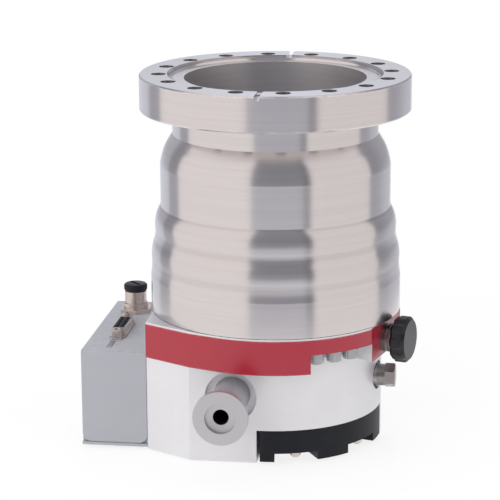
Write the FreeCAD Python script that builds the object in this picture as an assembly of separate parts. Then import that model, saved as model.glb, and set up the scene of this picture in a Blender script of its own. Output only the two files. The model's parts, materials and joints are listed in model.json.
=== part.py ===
import FreeCAD, Part
import math
import os

os.makedirs("parts", exist_ok=True)

# Turbomolecular vacuum pump, bolted inlet flange upwards, foreline port towards -Y.
# All sizes are in millimetres. Heights are measured up from the floor. A bearing is an angle
# in degrees round the rotor axis, from -Y towards +X. The finished part has its origin in
# the middle of the inlet flange's face, on the rotor axis.

# Inlet flange
boltCircleDia = 130.2
boltHoleDia = 8.4
boltCount = 16
flangeRim = 10.9
flangeThick = 20.0
flangeChamfer = 0.8
throatDia = 102.0
gasketDia = 120.6
gasketDepth = 2.4
knifeInset = 2.6
knifeHeight = 1.2
leakGrooveWidth = 3.0

# Housing below the flange, from the neck down: each step widens the outside
neckInset = 7.35
neckWall = 3.75
neckLength = 13.4
domeStep = 7.1
domeHeight = 16.7
upperLength = 25.3
shoulderStep = 3.25
shoulderHeight = 8.6
middleLength = 5.2
waistStep = 2.1
waistHeight = 12.5
lowerLength = 5.5
hemStep = 0.55
hemHeight = 6.4
hemLength = 20.6
throatLength = 27.4

# Base body
footProud = 1.0
lowerHeight = 54.0
ringHeight = 20.2
ringOverhang = 10.25
sideStep = 6.5
facetStep = 12.0
facetBearing = -30.0
cavityWall = 10.5
towerWall = 4.5

# Screws that hold the housing, hanging in two pockets under the ring
pocketStartBearing = 23.1
pocketEndBearing = 56.9
pocketHeight = 10.7
screwDia = 5.0
screwHeadDia = 8.2
screwHeadHeight = 5.0
screwWasherDia = 8.8
screwWasherThick = 1.2
screwSocket = 4.0
screwSocketDepth = 2.5
screwPlay = 0.25
screwThread = 9.0
screwsPerPocket = 3
screwMiddleBearing = 36.7
screwStepAngle = 9.4
screwInset = 5.35

# Label band round the ring
labelThick = 0.4
labelTopMargin = 1.1
labelStartBearing = -56.0
labelEndBearing = 94.0

# Foreline port
portX = -17.1
portHeight = 37.6
portReach = 37.3
portFlangeDia = 30.0
portFlangeEdge = 3.0
portNeckDia = 20.0
portRecessDia = 17.2
portRecessDepth = 2.4
portDishFall = 0.4
portBoreDia = 8.7
portPocketDia = 28.8
portPocketDepth = 6.0
portSpigot = 4.0
portTaperAngle = 15.0

# Vent valve
ventBearing = 75.0
ventFlatDepth = 4.05
ventDrop = 11.7
ventCollarDia = 16.0
ventCollarLength = 5.8
ventRibDepth = 0.9
ventStemDia = 6.0
ventSpigotDia = 10.0
ventSpigotLength = 11.5
ventSealDia = 7.6
ventSealThick = 2.0
ventSealRoom = 0.5
ventTravel = 2.0
ventHoleDia = 4.0
knobDia = 26.0
knobLength = 8.8
knobFlutes = 9
knobFluteDepth = 1.5
knobFluteRadius = 6.0
knobChamfer = 1.6
knobGap = 0.2

# Sealing gas plug
plugY = -10.0
plugHeight = 38.0
plugFlatDepth = 2.7
plugWasherDia = 13.6
plugWasherThick = 2.0
plugCollarDia = 12.4
plugCollarLength = 4.3
plugHexAcross = 12.2
plugHexLength = 5.6
plugThreadDia = 9.7
plugThreadLength = 5.0
tapExtra = 0.5
plugFlatMargin = 1.5
plugChamfer = 0.8

# Black cover under the right-hand side of the base
coverStartBearing = -1.0
coverEndBearing = 86.0
coverGap = 1.8
coverHeight = 18.8
coverLift = 1.7
coverDepth = 15.0
coverNotchHeight = 6.6
coverNotchBearings = (18.5, 61.3)
coverNotchAngle = 23.5
coverScrewDia = 6.2
coverScrewHeight = 3.7
coverScrewDome = 3.5
coverScrewInset = 4.0
coverScrewShank = 3.0
coverScrewBite = 6.0

# Feet under the base
footDia = 14.0
footSunk = 1.5
footRadius = 50.0
footBearings = (-50.0, -130.0, 150.0)

# Rotor, top to bottom
rotorDrop = 1.2
tipGap = 0.7
hubDia = 52.0
rowCount = 5
bladeSunk = 3.6
rowTaper = 0.54
rowGap = 1.5
bladeCount = 18
bladeRoot = 1.9
bladeTip = 1.2
firstBladeAngle = 42.0
lastBladeAngle = 24.0
discThick = 6.0
discLift = 3.3
discGap = 2.0
sleeveInset = 3.0
sleeveThick = 2.0
sleeveShelfGap = 0.5
shaftDia = 14.0
journalDia = 10.0
pinDia = 5.0
webThick = 6.0

# Stator parts round the rotor
spacerWidth = 5.1
stackFit = 0.2
statorShare = 0.75
statorBladeCount = 18
statorRimWidth = 1.6
rotorStatorGap = 0.7
holweckGap = 0.7
holweckGrooveDepth = 2.0
holweckGrooves = 6
holweckTwistAngle = 42.0
holweckFit = 0.1
shelfHeight = 44.0
annulusGap = 1.0

# Magnet bearing in the inlet
starHeight = 6.0
starHubDia = 24.0
starArms = 3
starArmWidth = 4.0
starRim = 1.8
starDrop = 1.0
stemDia = 11.0
stemLength = 17.0
stemBore = 8.0
stemBoreDepth = 9.0
magnetRing = 3.0
magnetGap = 0.7
magnetHeight = 14.0
magnetSunk = 2.8
safetyBearingHeight = 5.0
safetyGap = 0.3
pinProud = 1.0

# Motor
motorGap = 0.8
motorMagnet = 6.0
motorCoreWidth = 12.2
motorHeight = 18.0
motorLift = 6.0
motorFloorHeight = 36.0
windingHeight = 4.5
windingInset = 1.5

# Ball bearing at the bottom of the shaft
bearingHeight = 8.0
bearingTopHeight = 31.0
bearingRing = 2.6
ballDia = 4.8
ballCount = 7
ballSunk = 0.7
ballPlay = 0.03
damperThick = 2.5
cageHeight = 5.6
cageThick = 1.6
cageGap = 0.1
shaftHoleGap = 0.5
nutHeight = 7.0
nutLip = 1.0

# Lubricant reservoir under the bearing
reservoirDia = 38.0
reservoirHeight = 20.0
feltGap = 0.4
feltFit = 0.1
capDia = 46.0
capThick = 3.0
capPlug = 3.0
capPinDia = 4.0
capPinDepth = 2.0
capPinSpread = 28.0
capSealWidth = 2.4
capSealDepth = 1.6
capSealInset = 0.4

# Ring seal between housing and base
sealWidth = 3.0
sealDepth = 2.2
sealOffset = 5.0

# Electronics box on the left
boxWidth = 37.5
boxFront = -45.3
boxLength = 104.3
boxLift = 1.0
boxHeight = 55.2
boxWall = 2.5
boxCorner = 5.0
plateThick = 1.7
panelThick = 1.5
panelGap = 0.3
boardThick = 1.6
boardLift = 8.0
boardMargin = 3.0
boardPostDia = 6.0
plateScrewDia = 5.5
plateScrewDepth = 1.2
plateScrewMargin = 5.0

# Round connector with its screw cap
connectorInset = 15.1
connectorBackInset = 19.5
connectorHexAcross = 17.5
connectorHexAngle = 38.0
connectorFlange = 2.4
connectorStepDia = 14.4
connectorStep = 3.0
barrelDia = 12.8
barrelHeight = 12.6
barrelWall = 1.5
barrelDepth = 6.0
insertDepth = 4.6
screwCapDia = 13.8
screwCapHeight = 3.6
screwCapPlug = 3.0
screwCapFit = 0.1
capSlotWidth = 1.6
capSlotDepth = 1.4
capSlotAngle = -45.0
linerThick = 0.8

# Fifteen pin connector
dsubInset = 15.5
dsubFrontInset = 42.0
dsubLength = 39.1
dsubWidth = 9.3
dsubMiddleLength = 28.7
dsubEndWidth = 6.2
dsubPlate = 1.0
dsubShellLength = 25.0
dsubShellWidth = 7.6
dsubShellHeight = 5.3
dsubShellWall = 0.6
dsubTaperAngle = 10.0
dsubDepth = 8.0
dsubInsertDrop = 0.4
standoffAcross = 5.0
standoffSpread = 33.3
standoffHeight = 5.0
windowLength = 13.0
windowWidth = 3.2
windowInset = 14.4
windowOffset = -26.7
windowSunk = 0.8
windowThick = 0.6

# Corners of the hexagonal heads, sockets and flange
hexSides = 6

# Running and sliding fits
runningFit = 0.05
seatFit = 0.02

# Heights worked out from the sizes, bottom to top
floorZ = footProud
ledgeZ = floorZ + lowerHeight
jointZ = ledgeZ + ringHeight
hemZ = jointZ + hemLength
lowerZ = hemZ + hemHeight
waistZ = lowerZ + lowerLength
middleZ = waistZ + waistHeight
shoulderZ = middleZ + middleLength
upperZ = shoulderZ + shoulderHeight
domeZ = upperZ + upperLength
neckZ = domeZ + domeHeight
flangeZ = neckZ + neckLength
topZ = flangeZ + flangeThick
throatZ = topZ - throatLength
starZ = throatZ - starHeight
rotorTopZ = starZ - rotorDrop
discTopZ = jointZ + discLift
discZ = discTopZ - discThick
recessZ = rotorTopZ - magnetHeight - magnetSunk
shaftTopZ = recessZ - webThick
stemZ = starZ - stemLength
shelfZ = floorZ + shelfHeight
motorFloorZ = floorZ + motorFloorHeight
motorZ = motorFloorZ + motorLift
towerZ = motorZ + motorHeight + motorLift
bearingTopZ = floorZ + bearingTopHeight
bearingZ = bearingTopZ - bearingHeight
reservoirZ = floorZ + reservoirHeight
nutZ = bearingZ - nutHeight
pocketZ = ledgeZ + pocketHeight
coverZ = floorZ + coverHeight
portZ = floorZ + portHeight
ventZ = jointZ - ventDrop
plugZ = floorZ + plugHeight
boxZ = floorZ + boxLift
boxTopZ = boxZ + boxHeight
barrelZ = boxTopZ + barrelHeight
linerZ = barrelZ + linerThick

# Radii worked out from the sizes, outside to inside
boltCircleRadius = boltCircleDia / 2
flangeRadius = boltCircleRadius + flangeRim
throatRadius = throatDia / 2
neckRadius = boltCircleRadius - neckInset
stackBore = neckRadius - neckWall
upperRadius = neckRadius + domeStep
middleRadius = upperRadius + shoulderStep
waistRadius = middleRadius + waistStep
ringRadius = waistRadius + hemStep
lowerRadius = ringRadius - ringOverhang
cavityRadius = lowerRadius - cavityWall
spacerOuter = stackBore - stackFit
spacerInner = spacerOuter - spacerWidth
tipRadius = spacerInner - tipGap
hubRadius = hubDia / 2
statorInner = hubRadius + rotorStatorGap
holweckOuter = cavityRadius - holweckFit
sleeveOuter = tipRadius - sleeveInset
sleeveInner = sleeveOuter - sleeveThick
annulusRadius = sleeveOuter + annulusGap
shaftRadius = shaftDia / 2
journalRadius = journalDia / 2
pinRadius = pinDia / 2
magnetRadius = shaftRadius + motorMagnet
coreInner = magnetRadius + motorGap
coreOuter = coreInner + motorCoreWidth
towerRadius = coreOuter + towerWall
statorMagnetRadius = stemDia / 2 + magnetRing
rotorMagnetInner = statorMagnetRadius + magnetGap
rotorMagnetOuter = rotorMagnetInner + magnetRing
innerRaceRadius = journalRadius + bearingRing
ballCircle = innerRaceRadius - ballSunk + ballDia / 2
outerRaceRadius = 2 * ballCircle - innerRaceRadius
bearingRadius = outerRaceRadius + bearingRing
damperRadius = bearingRadius + damperThick
reservoirRadius = reservoirDia / 2
capSealInner = capDia / 2 - capSealWidth - capSealInset

# Directions and distances round the base
sideFace = lowerRadius + sideStep
facetDistance = lowerRadius + facetStep
ventFace = ringRadius - ventFlatDepth
plugFace = lowerRadius - plugFlatDepth
portFace = lowerRadius + portReach
portFloor = lowerRadius - portPocketDepth
boxLeft = -sideFace - boxWidth
boxBack = boxFront + boxLength
connectorX = boxLeft + connectorInset
connectorY = boxBack - connectorBackInset
dsubX = boxLeft + dsubInset
dsubY = boxFront + dsubFrontInset
up = FreeCAD.Vector(0, 0, 1)


def toward(bearing, distance=1.0, z=0.0):
    # The point at that distance from the rotor axis, in the direction of the bearing.
    angle = math.radians(bearing)
    return FreeCAD.Vector(distance * math.sin(angle), -distance * math.cos(angle), z)


def disc(radius, low, high, x=0.0, y=0.0):
    return Part.makeCylinder(radius, high - low, FreeCAD.Vector(x, y, low))


def tube(outer, inner, low, high, x=0.0, y=0.0):
    return disc(outer, low, high, x, y).cut(disc(inner, low - 1, high + 1, x, y))


def block(low, high):
    size = FreeCAD.Vector(*high) - FreeCAD.Vector(*low)
    return Part.makeBox(size.x, size.y, size.z, FreeCAD.Vector(*low))


def joined(shapes):
    if len(shapes) == 1:
        return shapes[0]
    return shapes[0].fuse(shapes[1:])


def face(points):
    return Part.Face(Part.makePolygon(points + points[:1]))


def turned(points):
    # A solid turned about the Z axis from its half section, given as radius and height.
    section = face([FreeCAD.Vector(radius, 0, z) for radius, z in points])
    return section.revolve(FreeCAD.Vector(), up, 360)


def aimed(shape, start, direction, side=up):
    # Moves a shape that was built up from the origin so that it starts elsewhere and points
    # along another direction.
    turn = FreeCAD.Rotation(side, FreeCAD.Vector(), direction, "ZXY")
    moved = shape.copy()
    moved.Placement = FreeCAD.Placement(start, turn).multiply(moved.Placement)
    return moved


def wedge(start, end, low, high, reach):
    # A sector from the rotor axis outwards between two bearings.
    rim = [toward(start, reach), toward((start + end) / 2, reach), toward(end, reach)]
    edges = [Part.LineSegment(FreeCAD.Vector(), rim[0]).toShape(), Part.Arc(*rim).toShape()]
    edges.append(Part.LineSegment(rim[2], FreeCAD.Vector()).toShape())
    sector = Part.Face(Part.Wire(edges)).extrude(up * (high - low))
    return sector.translated(up * low)


def prism(corners, across, length):
    # A regular prism with that width across its flats.
    radius = across / 2 / math.cos(math.pi / corners)
    step = 2 * math.pi / corners
    points = [FreeCAD.Vector(radius * math.cos(i * step), radius * math.sin(i * step), 0)
              for i in range(corners)]
    return face(points).extrude(up * length)


def ringed(shape, bearings):
    # Copies of a shape that lies at bearing zero, turned to other bearings.
    copies = []
    for bearing in bearings:
        copy = shape.copy()
        copy.rotate(FreeCAD.Vector(), up, bearing)
        copies.append(copy)
    return copies


def shoulderArc(radius, low, step, height):
    # The outline narrows by one step over that height, along an arc that starts upright.
    bend = (height ** 2 + step ** 2) / (2 * step)
    half = math.asin(height / bend) / 2
    centre = radius - bend
    middle = (centre + bend * math.cos(half), low + bend * math.sin(half))
    return arc((radius, low), middle, (radius - step, low + height))


def line(start, end):
    return Part.LineSegment(FreeCAD.Vector(start[0], 0, start[1]),
                            FreeCAD.Vector(end[0], 0, end[1])).toShape()


def arc(start, middle, end):
    return Part.Arc(*[FreeCAD.Vector(x, 0, z) for x, z in (start, middle, end)]).toShape()


def lines(points):
    return [line(points[i], points[i + 1]) for i in range(len(points) - 1)]


def boltBearings():
    # The bolt holes straddle the two leak check grooves.
    pitch = 360.0 / boltCount
    return [pitch * (i + 0.5) for i in range(boltCount)]


def pocketBearings():
    first = screwMiddleBearing - screwStepAngle * (screwsPerPocket - 1) / 2
    front = [first + screwStepAngle * i for i in range(screwsPerPocket)]
    return front + [180 - bearing for bearing in front]


def basePlan(radius, grow, low, high):
    # The base seen from above: a round body with a block on its left that carries the
    # electronics, its front corner cut off by a slanted facet.
    normal = toward(facetBearing)
    front = -(lowerRadius + grow)
    side = -(sideFace + grow)
    distance = facetDistance + grow
    cornerA = FreeCAD.Vector((distance - normal.y * front) / normal.x, front, 0)
    cornerB = FreeCAD.Vector(side, (distance - normal.x * side) / normal.y, 0)
    reach = radius + grow
    bearingA = math.degrees(math.atan2(cornerA.x, -cornerA.y))
    touch = bearingA + math.degrees(math.acos(min(1.0, reach / cornerA.Length)))
    points = [toward(touch, reach), cornerA, cornerB]
    points += [FreeCAD.Vector(p.x, -p.y, 0) for p in reversed(points)]
    edges = [Part.LineSegment(points[i], points[i + 1]).toShape() for i in range(5)]
    edges.append(Part.Arc(points[5], toward(90, reach), points[0]).toShape())
    return Part.Face(Part.Wire(edges)).extrude(up * (high - low)).translated(up * low)


def beyondVentFace(distance, low, high):
    # Everything outside the flat that the vent valve sits on.
    reach = 2 * ringRadius
    slab = block((-reach, -reach, 0), (reach, reach, reach))
    return aimed(slab, toward(ventBearing, distance), toward(ventBearing)).common(
        disc(2 * reach, low, high))


def ventAxis(shape, distance):
    return aimed(shape, toward(ventBearing, distance, ventZ), toward(ventBearing))


def portAxis(shape, distance):
    return aimed(shape, FreeCAD.Vector(portX, -distance, portZ), FreeCAD.Vector(0, -1, 0))


def plugAxis(shape, distance):
    return aimed(shape, FreeCAD.Vector(distance, plugY, plugZ), FreeCAD.Vector(1, 0, 0))


def makeHousing():
    knifeRadius = gasketDia / 2 - knifeInset
    seatZ = topZ - gasketDepth
    edges = lines([(stackBore, jointZ), (ringRadius, jointZ), (ringRadius, hemZ),
                   (waistRadius, lowerZ), (waistRadius, waistZ)])
    edges += [shoulderArc(waistRadius, waistZ, waistStep, waistHeight)]
    edges += lines([(middleRadius, middleZ), (middleRadius, shoulderZ)])
    edges += [shoulderArc(middleRadius, shoulderZ, shoulderStep, shoulderHeight)]
    edges += lines([(upperRadius, upperZ), (upperRadius, domeZ)])
    edges += [shoulderArc(upperRadius, domeZ, domeStep, domeHeight)]
    edges += lines([(neckRadius, neckZ), (neckRadius, flangeZ),
                    (flangeRadius - flangeChamfer, flangeZ), (flangeRadius, flangeZ + flangeChamfer),
                    (flangeRadius, topZ - flangeChamfer), (flangeRadius - flangeChamfer, topZ),
                    (gasketDia / 2, topZ), (gasketDia / 2, seatZ), (knifeRadius, seatZ + knifeHeight),
                    (knifeRadius - knifeHeight / 2, seatZ), (throatRadius, seatZ),
                    (throatRadius, throatZ), (stackBore, throatZ), (stackBore, jointZ)])
    shell = Part.Face(Part.Wire(edges)).revolve(FreeCAD.Vector(), up, 360)
    holes = ringed(disc(boltHoleDia / 2, flangeZ - 1, topZ + 1, 0, -boltCircleRadius), boltBearings())
    groove = block((-leakGrooveWidth / 2, -flangeRadius - 1, seatZ),
                   (leakGrooveWidth / 2, -gasketDia / 2 + 1, topZ + 1))
    threads = ringed(disc(screwDia / 2 + seatFit, jointZ - 1, jointZ + screwThread + 1,
                          0, -(ringRadius - screwInset)), pocketBearings())
    return shell.cut(holes + ringed(groove, (0, 180)) + threads)


def makeBaseBody():
    body = ringBody(0, ledgeZ, jointZ).fuse(basePlan(lowerRadius, 0, floorZ, ledgeZ))
    reach = 2 * ringRadius
    rim = tube(reach, lowerRadius, ledgeZ - 1, pocketZ)
    front = wedge(pocketStartBearing, pocketEndBearing, ledgeZ - 1, pocketZ, reach)
    back = wedge(180 - pocketEndBearing, 180 - pocketStartBearing, ledgeZ - 1, pocketZ, reach)
    gap = math.degrees(coverGap / lowerRadius)
    cuts = [front.common(rim), back.common(rim)]
    cuts += [wedge(coverStartBearing - gap, coverEndBearing + gap / 2, floorZ - 1, coverZ, reach).common(
        tube(reach, lowerRadius - coverDepth, floorZ - 1, coverZ))]
    cuts += [tube(cavityRadius, towerRadius, shelfZ, jointZ + 1),
             tube(annulusRadius, towerRadius, bearingTopZ + seatFit, shelfZ + 1),
             disc(cavityRadius, towerZ, jointZ + 1), disc(coreOuter + seatFit, motorFloorZ, jointZ + 1),
             disc(shaftRadius + shaftHoleGap, bearingTopZ - 1, motorFloorZ + 1),
             disc(damperRadius + seatFit, reservoirZ - 1, bearingTopZ),
             disc(reservoirRadius, floorZ - 1, reservoirZ),
             disc(capDia / 2 + seatFit, floorZ - 1, floorZ + capThick)]
    sealInner = stackBore + sealOffset
    capZ = floorZ + capThick
    cuts += [tube(sealInner + sealWidth, sealInner, jointZ - sealDepth, jointZ + 1),
             tube(capSealInner + capSealWidth, capSealInner, capZ - 1, capZ + capSealDepth)]
    hole = disc(screwDia / 2 + screwPlay, pocketZ - 1, jointZ + 1, 0, -(ringRadius - screwInset))
    cuts += ringed(hole, pocketBearings())
    cuts += [portAxis(disc(portPocketDia / 2, 0, reach), portFloor),
             portAxis(disc(portNeckDia / 2 + seatFit, -portSpigot, 1), portFloor),
             portAxis(disc(portBoreDia / 2, -cavityWall - reservoirRadius, 1), portFloor - portSpigot)]
    cuts += [plugAxis(disc(plugWasherDia / 2 + plugFlatMargin, 0, reach), plugFace),
             plugAxis(disc(plugThreadDia / 2 + seatFit, -plugThreadLength - tapExtra, 1), plugFace)]
    cuts += [ventAxis(disc(ventSpigotDia / 2 + seatFit, -ventSpigotLength - ventSealRoom, 1), ventFace),
             ventAxis(disc(ventHoleDia / 2, -ventFace + sleeveOuter, 1), ventFace)]
    cuts += ringed(disc(footDia / 2 + seatFit, floorZ - 1, floorZ + footSunk, 0, -footRadius), footBearings)
    cuts += ringed(disc(coverScrewShank / 2 + seatFit, coverZ - 1, coverZ + coverScrewBite + tapExtra,
                        0, -(lowerRadius - coverScrewInset)), coverNotchBearings)
    return body.cut(cuts)


def makeHousingScrews():
    radius = ringRadius - screwInset
    seat = pocketZ - screwWasherThick
    low = seat - screwHeadHeight
    screw = joined([disc(screwHeadDia / 2, low, seat, 0, -radius),
                    disc(screwWasherDia / 2, seat, pocketZ, 0, -radius),
                    disc(screwDia / 2, pocketZ, jointZ + screwThread, 0, -radius)])
    socket = prism(hexSides, screwSocket, screwSocketDepth)
    screw = screw.cut(socket.translated(FreeCAD.Vector(0, -radius, low)))
    return Part.makeCompound(ringed(screw, pocketBearings()))


def makeHousingSeal():
    inner = stackBore + sealOffset
    return tube(inner + sealWidth - runningFit, inner + runningFit, jointZ - sealDepth, jointZ)


def ringBody(grow, low, high):
    # The ring's outline with the flat for the vent valve, grown outwards by that much.
    return basePlan(ringRadius, grow, low, high).cut(beyondVentFace(ventFace + grow, low - 1, high + 1))


def makeLabelBand():
    # A printed foil round the ring, bare here. Over the screw pocket it is narrow.
    low = ledgeZ
    high = jointZ - labelTopMargin
    reach = 2 * ringRadius
    foil = ringBody(labelThick, low, high).cut(ringBody(0, low - 1, high + 1))
    foil = foil.common(wedge(labelStartBearing, labelEndBearing, low, high, reach))
    hole = ventAxis(disc(ventCollarDia / 2 + runningFit, -1, labelThick + 1), ventFace)
    return foil.cut([wedge(pocketStartBearing, pocketEndBearing, low - 1, pocketZ, reach), hole])


def makeForelinePort():
    neck = portNeckDia / 2
    rim = portFlangeDia / 2
    length = portFace - portFloor
    rise = (rim - neck) * math.tan(math.radians(portTaperAngle))
    mouth = portRecessDia / 2
    dish = length - portRecessDepth
    port = turned([(portBoreDia / 2, -portSpigot), (neck, -portSpigot),
                   (neck, length - portFlangeEdge - rise), (rim, length - portFlangeEdge), (rim, length),
                   (mouth, length), (mouth, dish), (portBoreDia / 2, dish - portDishFall)])
    return portAxis(port, portFloor)


def makeVentCollar():
    # A screwed-in bush with two ribs; the stem runs in its bore.
    outer = ventCollarDia / 2
    rib = ventCollarLength / 5
    points = [(ventStemDia / 2 + runningFit, ventCollarLength), (outer, ventCollarLength)]
    for i in (4, 2):
        points += [(outer, rib * i), (outer - ventRibDepth, rib * i),
                   (outer - ventRibDepth, rib * (i - 1)), (outer, rib * (i - 1))]
    roomZ = -ventSpigotLength + ventTravel + ventSealThick + ventSealRoom
    points += [(outer, 0), (ventSpigotDia / 2, 0), (ventSpigotDia / 2, -ventSpigotLength),
               (ventSealDia / 2 + runningFit, -ventSpigotLength), (ventSealDia / 2 + runningFit, roomZ),
               (ventStemDia / 2 + runningFit, roomZ)]
    return ventAxis(turned(points), ventFace)


def makeVentSeal():
    return ventAxis(disc(ventSealDia / 2, 0, ventSealThick), ventFace - ventSpigotLength)


def makeVentStem():
    end = ventCollarLength + knobGap + knobLength / 2
    return ventAxis(disc(ventStemDia / 2, ventSealThick - ventSpigotLength, end), ventFace)


def makeVentKnob():
    radius = knobDia / 2
    low = ventCollarLength + knobGap
    high = low + knobLength
    knob = turned([(0, low), (radius - knobChamfer, low), (radius, low + knobChamfer),
                   (radius, high - knobChamfer), (radius - knobChamfer, high), (0, high)])
    flute = disc(knobFluteRadius, low - 1, high + 1, 0, -(radius - knobFluteDepth + knobFluteRadius))
    step = 360.0 / knobFlutes
    knob = knob.cut(ringed(flute, [step * i for i in range(knobFlutes)]))
    bore = disc(ventStemDia / 2 + seatFit, low - 1, low + knobLength / 2)
    return ventAxis(knob.cut(bore), ventFace)


def makePurgeWasher():
    washer = tube(plugWasherDia / 2, plugThreadDia / 2 + runningFit, 0, plugWasherThick)
    return plugAxis(washer, plugFace)


def makePurgePlug():
    collarEnd = plugWasherThick + plugCollarLength
    end = collarEnd + plugHexLength
    corner = plugHexAcross / math.sqrt(3)
    plug = disc(plugThreadDia / 2, -plugThreadLength, plugWasherThick)
    plug = plug.fuse(disc(plugCollarDia / 2, plugWasherThick, collarEnd))
    chamfered = turned([(0, collarEnd), (corner, collarEnd), (corner, end - plugChamfer),
                        (corner - plugChamfer, end), (0, end)])
    head = prism(hexSides, plugHexAcross, plugHexLength).translated(up * collarEnd).common(chamfered)
    return plugAxis(plug.fuse(head), plugFace)


def makeBottomCover():
    # A moulded sector under the base, notched underneath where its screws sit.
    cover = wedge(coverStartBearing, coverEndBearing, coverLift, coverZ, lowerRadius)
    cover = cover.cut(disc(lowerRadius - coverDepth + runningFit, -1, coverZ + 1))
    half = coverNotchAngle / 2
    reach = 2 * lowerRadius
    notches = [wedge(middle - half, middle + half, -1, coverNotchHeight, reach)
               for middle in coverNotchBearings]
    shank = disc(coverScrewShank / 2 + seatFit, -1, coverZ + 1, 0, -(lowerRadius - coverScrewInset))
    return cover.cut(notches + ringed(shank, coverNotchBearings))


def makeCoverScrews():
    radius = lowerRadius - coverScrewInset
    low = coverNotchHeight - coverScrewHeight
    head = disc(coverScrewDia / 2, low, coverNotchHeight, 0, -radius)
    head = head.common(Part.makeSphere(coverScrewDome, FreeCAD.Vector(0, -radius, low + coverScrewDome)))
    screw = head.fuse(disc(coverScrewShank / 2, low + coverScrewDome, coverZ + coverScrewBite, 0, -radius))
    return Part.makeCompound(ringed(screw, coverNotchBearings))


def makeFeet():
    return Part.makeCompound(ringed(disc(footDia / 2, 0, floorZ + footSunk, 0, -footRadius), footBearings))


def makeReservoirCap():
    cap = disc(capDia / 2, floorZ, floorZ + capThick)
    cap = cap.fuse(disc(reservoirRadius - seatFit, floorZ + capThick, floorZ + capThick + capPlug))
    pins = [disc(capPinDia / 2, floorZ - 1, floorZ + capPinDepth, side * capPinSpread / 2)
            for side in (-1, 1)]
    return cap.cut(pins)


def makeReservoirSeal():
    low = floorZ + capThick
    return tube(capSealInner + capSealWidth - runningFit, capSealInner + runningFit, low, low + capSealDepth)


def makeReservoirFelt():
    low = floorZ + capThick + capPlug
    return tube(reservoirRadius - feltFit, innerRaceRadius + feltGap, low, reservoirZ)


def blade(inner, outer, low, high, angle, root, tip, hand):
    # One slanted blade along -Y, thinner at its tip. The angle is measured from the plane of
    # rotation, and the hand says which way the blade leans.
    slope = math.radians(angle)
    lean = hand * (high - low) / math.tan(slope) / 2
    ends = []
    for radius, thick in ((inner, root), (outer, tip)):
        half = thick / math.sin(slope) / 2
        corners = [(-lean - half, low), (-lean + half, low), (lean + half, high), (lean - half, high)]
        ends.append([FreeCAD.Vector(x, -radius, z) for x, z in corners])
    near, far = ends
    sides = [face([near[i], near[i - 1], far[i - 1], far[i]]) for i in range(4)]
    solid = Part.Solid(Part.Shell([face(near), face(far)] + sides))
    return solid if solid.Volume > 0 else solid.reversed()


def rowHeights():
    # Heights of the blade rows: they get lower towards the foreline, and with the stator rows
    # and the gaps between them they fill the space down to the drive disc.
    shares = [1 - (1 - rowTaper) * i / (rowCount - 1) for i in range(rowCount)]
    space = rotorTopZ - discTopZ - discGap - 2 * rowGap * (rowCount - 1)
    unit = space / (sum(shares) + statorShare * sum(shares[:-1]))
    return [unit * share for share in shares]


def rows():
    # For each rotor row its low and high, and the same for the stator row beneath it.
    spans = []
    high = rotorTopZ
    for i, height in enumerate(rowHeights()):
        low = high - height
        statorHigh = low - rowGap
        statorLow = statorHigh - height * statorShare
        spans.append((low, high, statorLow, statorHigh))
        high = statorLow - rowGap
    return spans


def rowAngle(i):
    return firstBladeAngle + (lastBladeAngle - firstBladeAngle) * i / (rowCount - 1)


def makeRotor():
    bore = shaftRadius + seatFit
    pinBore = pinRadius + seatFit
    hub = turned([(bore, discZ), (sleeveInner, discZ), (sleeveInner, discTopZ), (hubRadius, discTopZ),
                  (hubRadius, rotorTopZ), (rotorMagnetOuter, rotorTopZ), (rotorMagnetOuter, recessZ),
                  (pinBore, recessZ), (pinBore, shaftTopZ), (bore, shaftTopZ)])
    pieces = [hub]
    for i, (low, high, statorLow, statorHigh) in enumerate(rows()):
        one = blade(hubRadius - bladeSunk, tipRadius + 1, low, high, rowAngle(i), bladeRoot, bladeTip, 1)
        one = one.common(disc(tipRadius, low - 1, high + 1))
        pieces += ringed(one, [360.0 / bladeCount * k for k in range(bladeCount)])
    return joined(pieces)


def makeStatorDiscs():
    discs = []
    for i, (low, high, statorLow, statorHigh) in enumerate(rows()[:-1]):
        rim = tube(spacerOuter, spacerInner, statorLow, statorHigh)
        core = tube(statorInner + statorRimWidth, statorInner, statorLow, statorHigh)
        reach = spacerInner + 1
        one = blade(statorInner, reach, statorLow, statorHigh, rowAngle(i), bladeRoot, bladeTip, -1)
        one = one.common(tube(reach, statorInner, statorLow, statorHigh))
        step = 360.0 / statorBladeCount
        discs.append(joined([rim, core] + ringed(one, [step * k for k in range(statorBladeCount)])))
    return Part.makeCompound(discs)


def makeSpacerRings():
    # Each ring fills the stack round one rotor row, between two stator rims.
    tops = [starZ] + [statorLow for low, high, statorLow, statorHigh in rows()[:-1]]
    bottoms = [statorHigh for low, high, statorLow, statorHigh in rows()[:-1]] + [jointZ]
    rings = [tube(spacerOuter, spacerInner, low, high) for low, high in zip(bottoms, tops)]
    return Part.makeCompound(rings)


def makeStarHolder():
    # Three arms across the inlet carry the stationary half of the magnet bearing.
    half = starArmWidth / 2
    top = throatZ - starDrop
    ring = tube(spacerOuter, spacerOuter - starRim, starZ, throatZ)
    arm = block((-half, starRim / 2 - spacerOuter, starZ), (half, 0, top))
    holder = joined([ring, disc(starHubDia / 2, starZ, top), disc(stemDia / 2, stemZ, starZ)]
                    + ringed(arm, [360.0 / starArms * k for k in range(starArms)]))
    return holder.cut(disc(stemBore / 2, stemZ - 1, stemZ + stemBoreDepth))


def makeMagnetBearingStator():
    return tube(statorMagnetRadius, stemDia / 2 + seatFit, stemZ, stemZ + magnetHeight)


def makeMagnetBearingRotor():
    return tube(rotorMagnetOuter - seatFit, rotorMagnetInner, recessZ, recessZ + magnetHeight)


def makeSafetyBearing():
    return tube(stemBore / 2 - seatFit, pinRadius + safetyGap, stemZ, stemZ + safetyBearingHeight)


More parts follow.
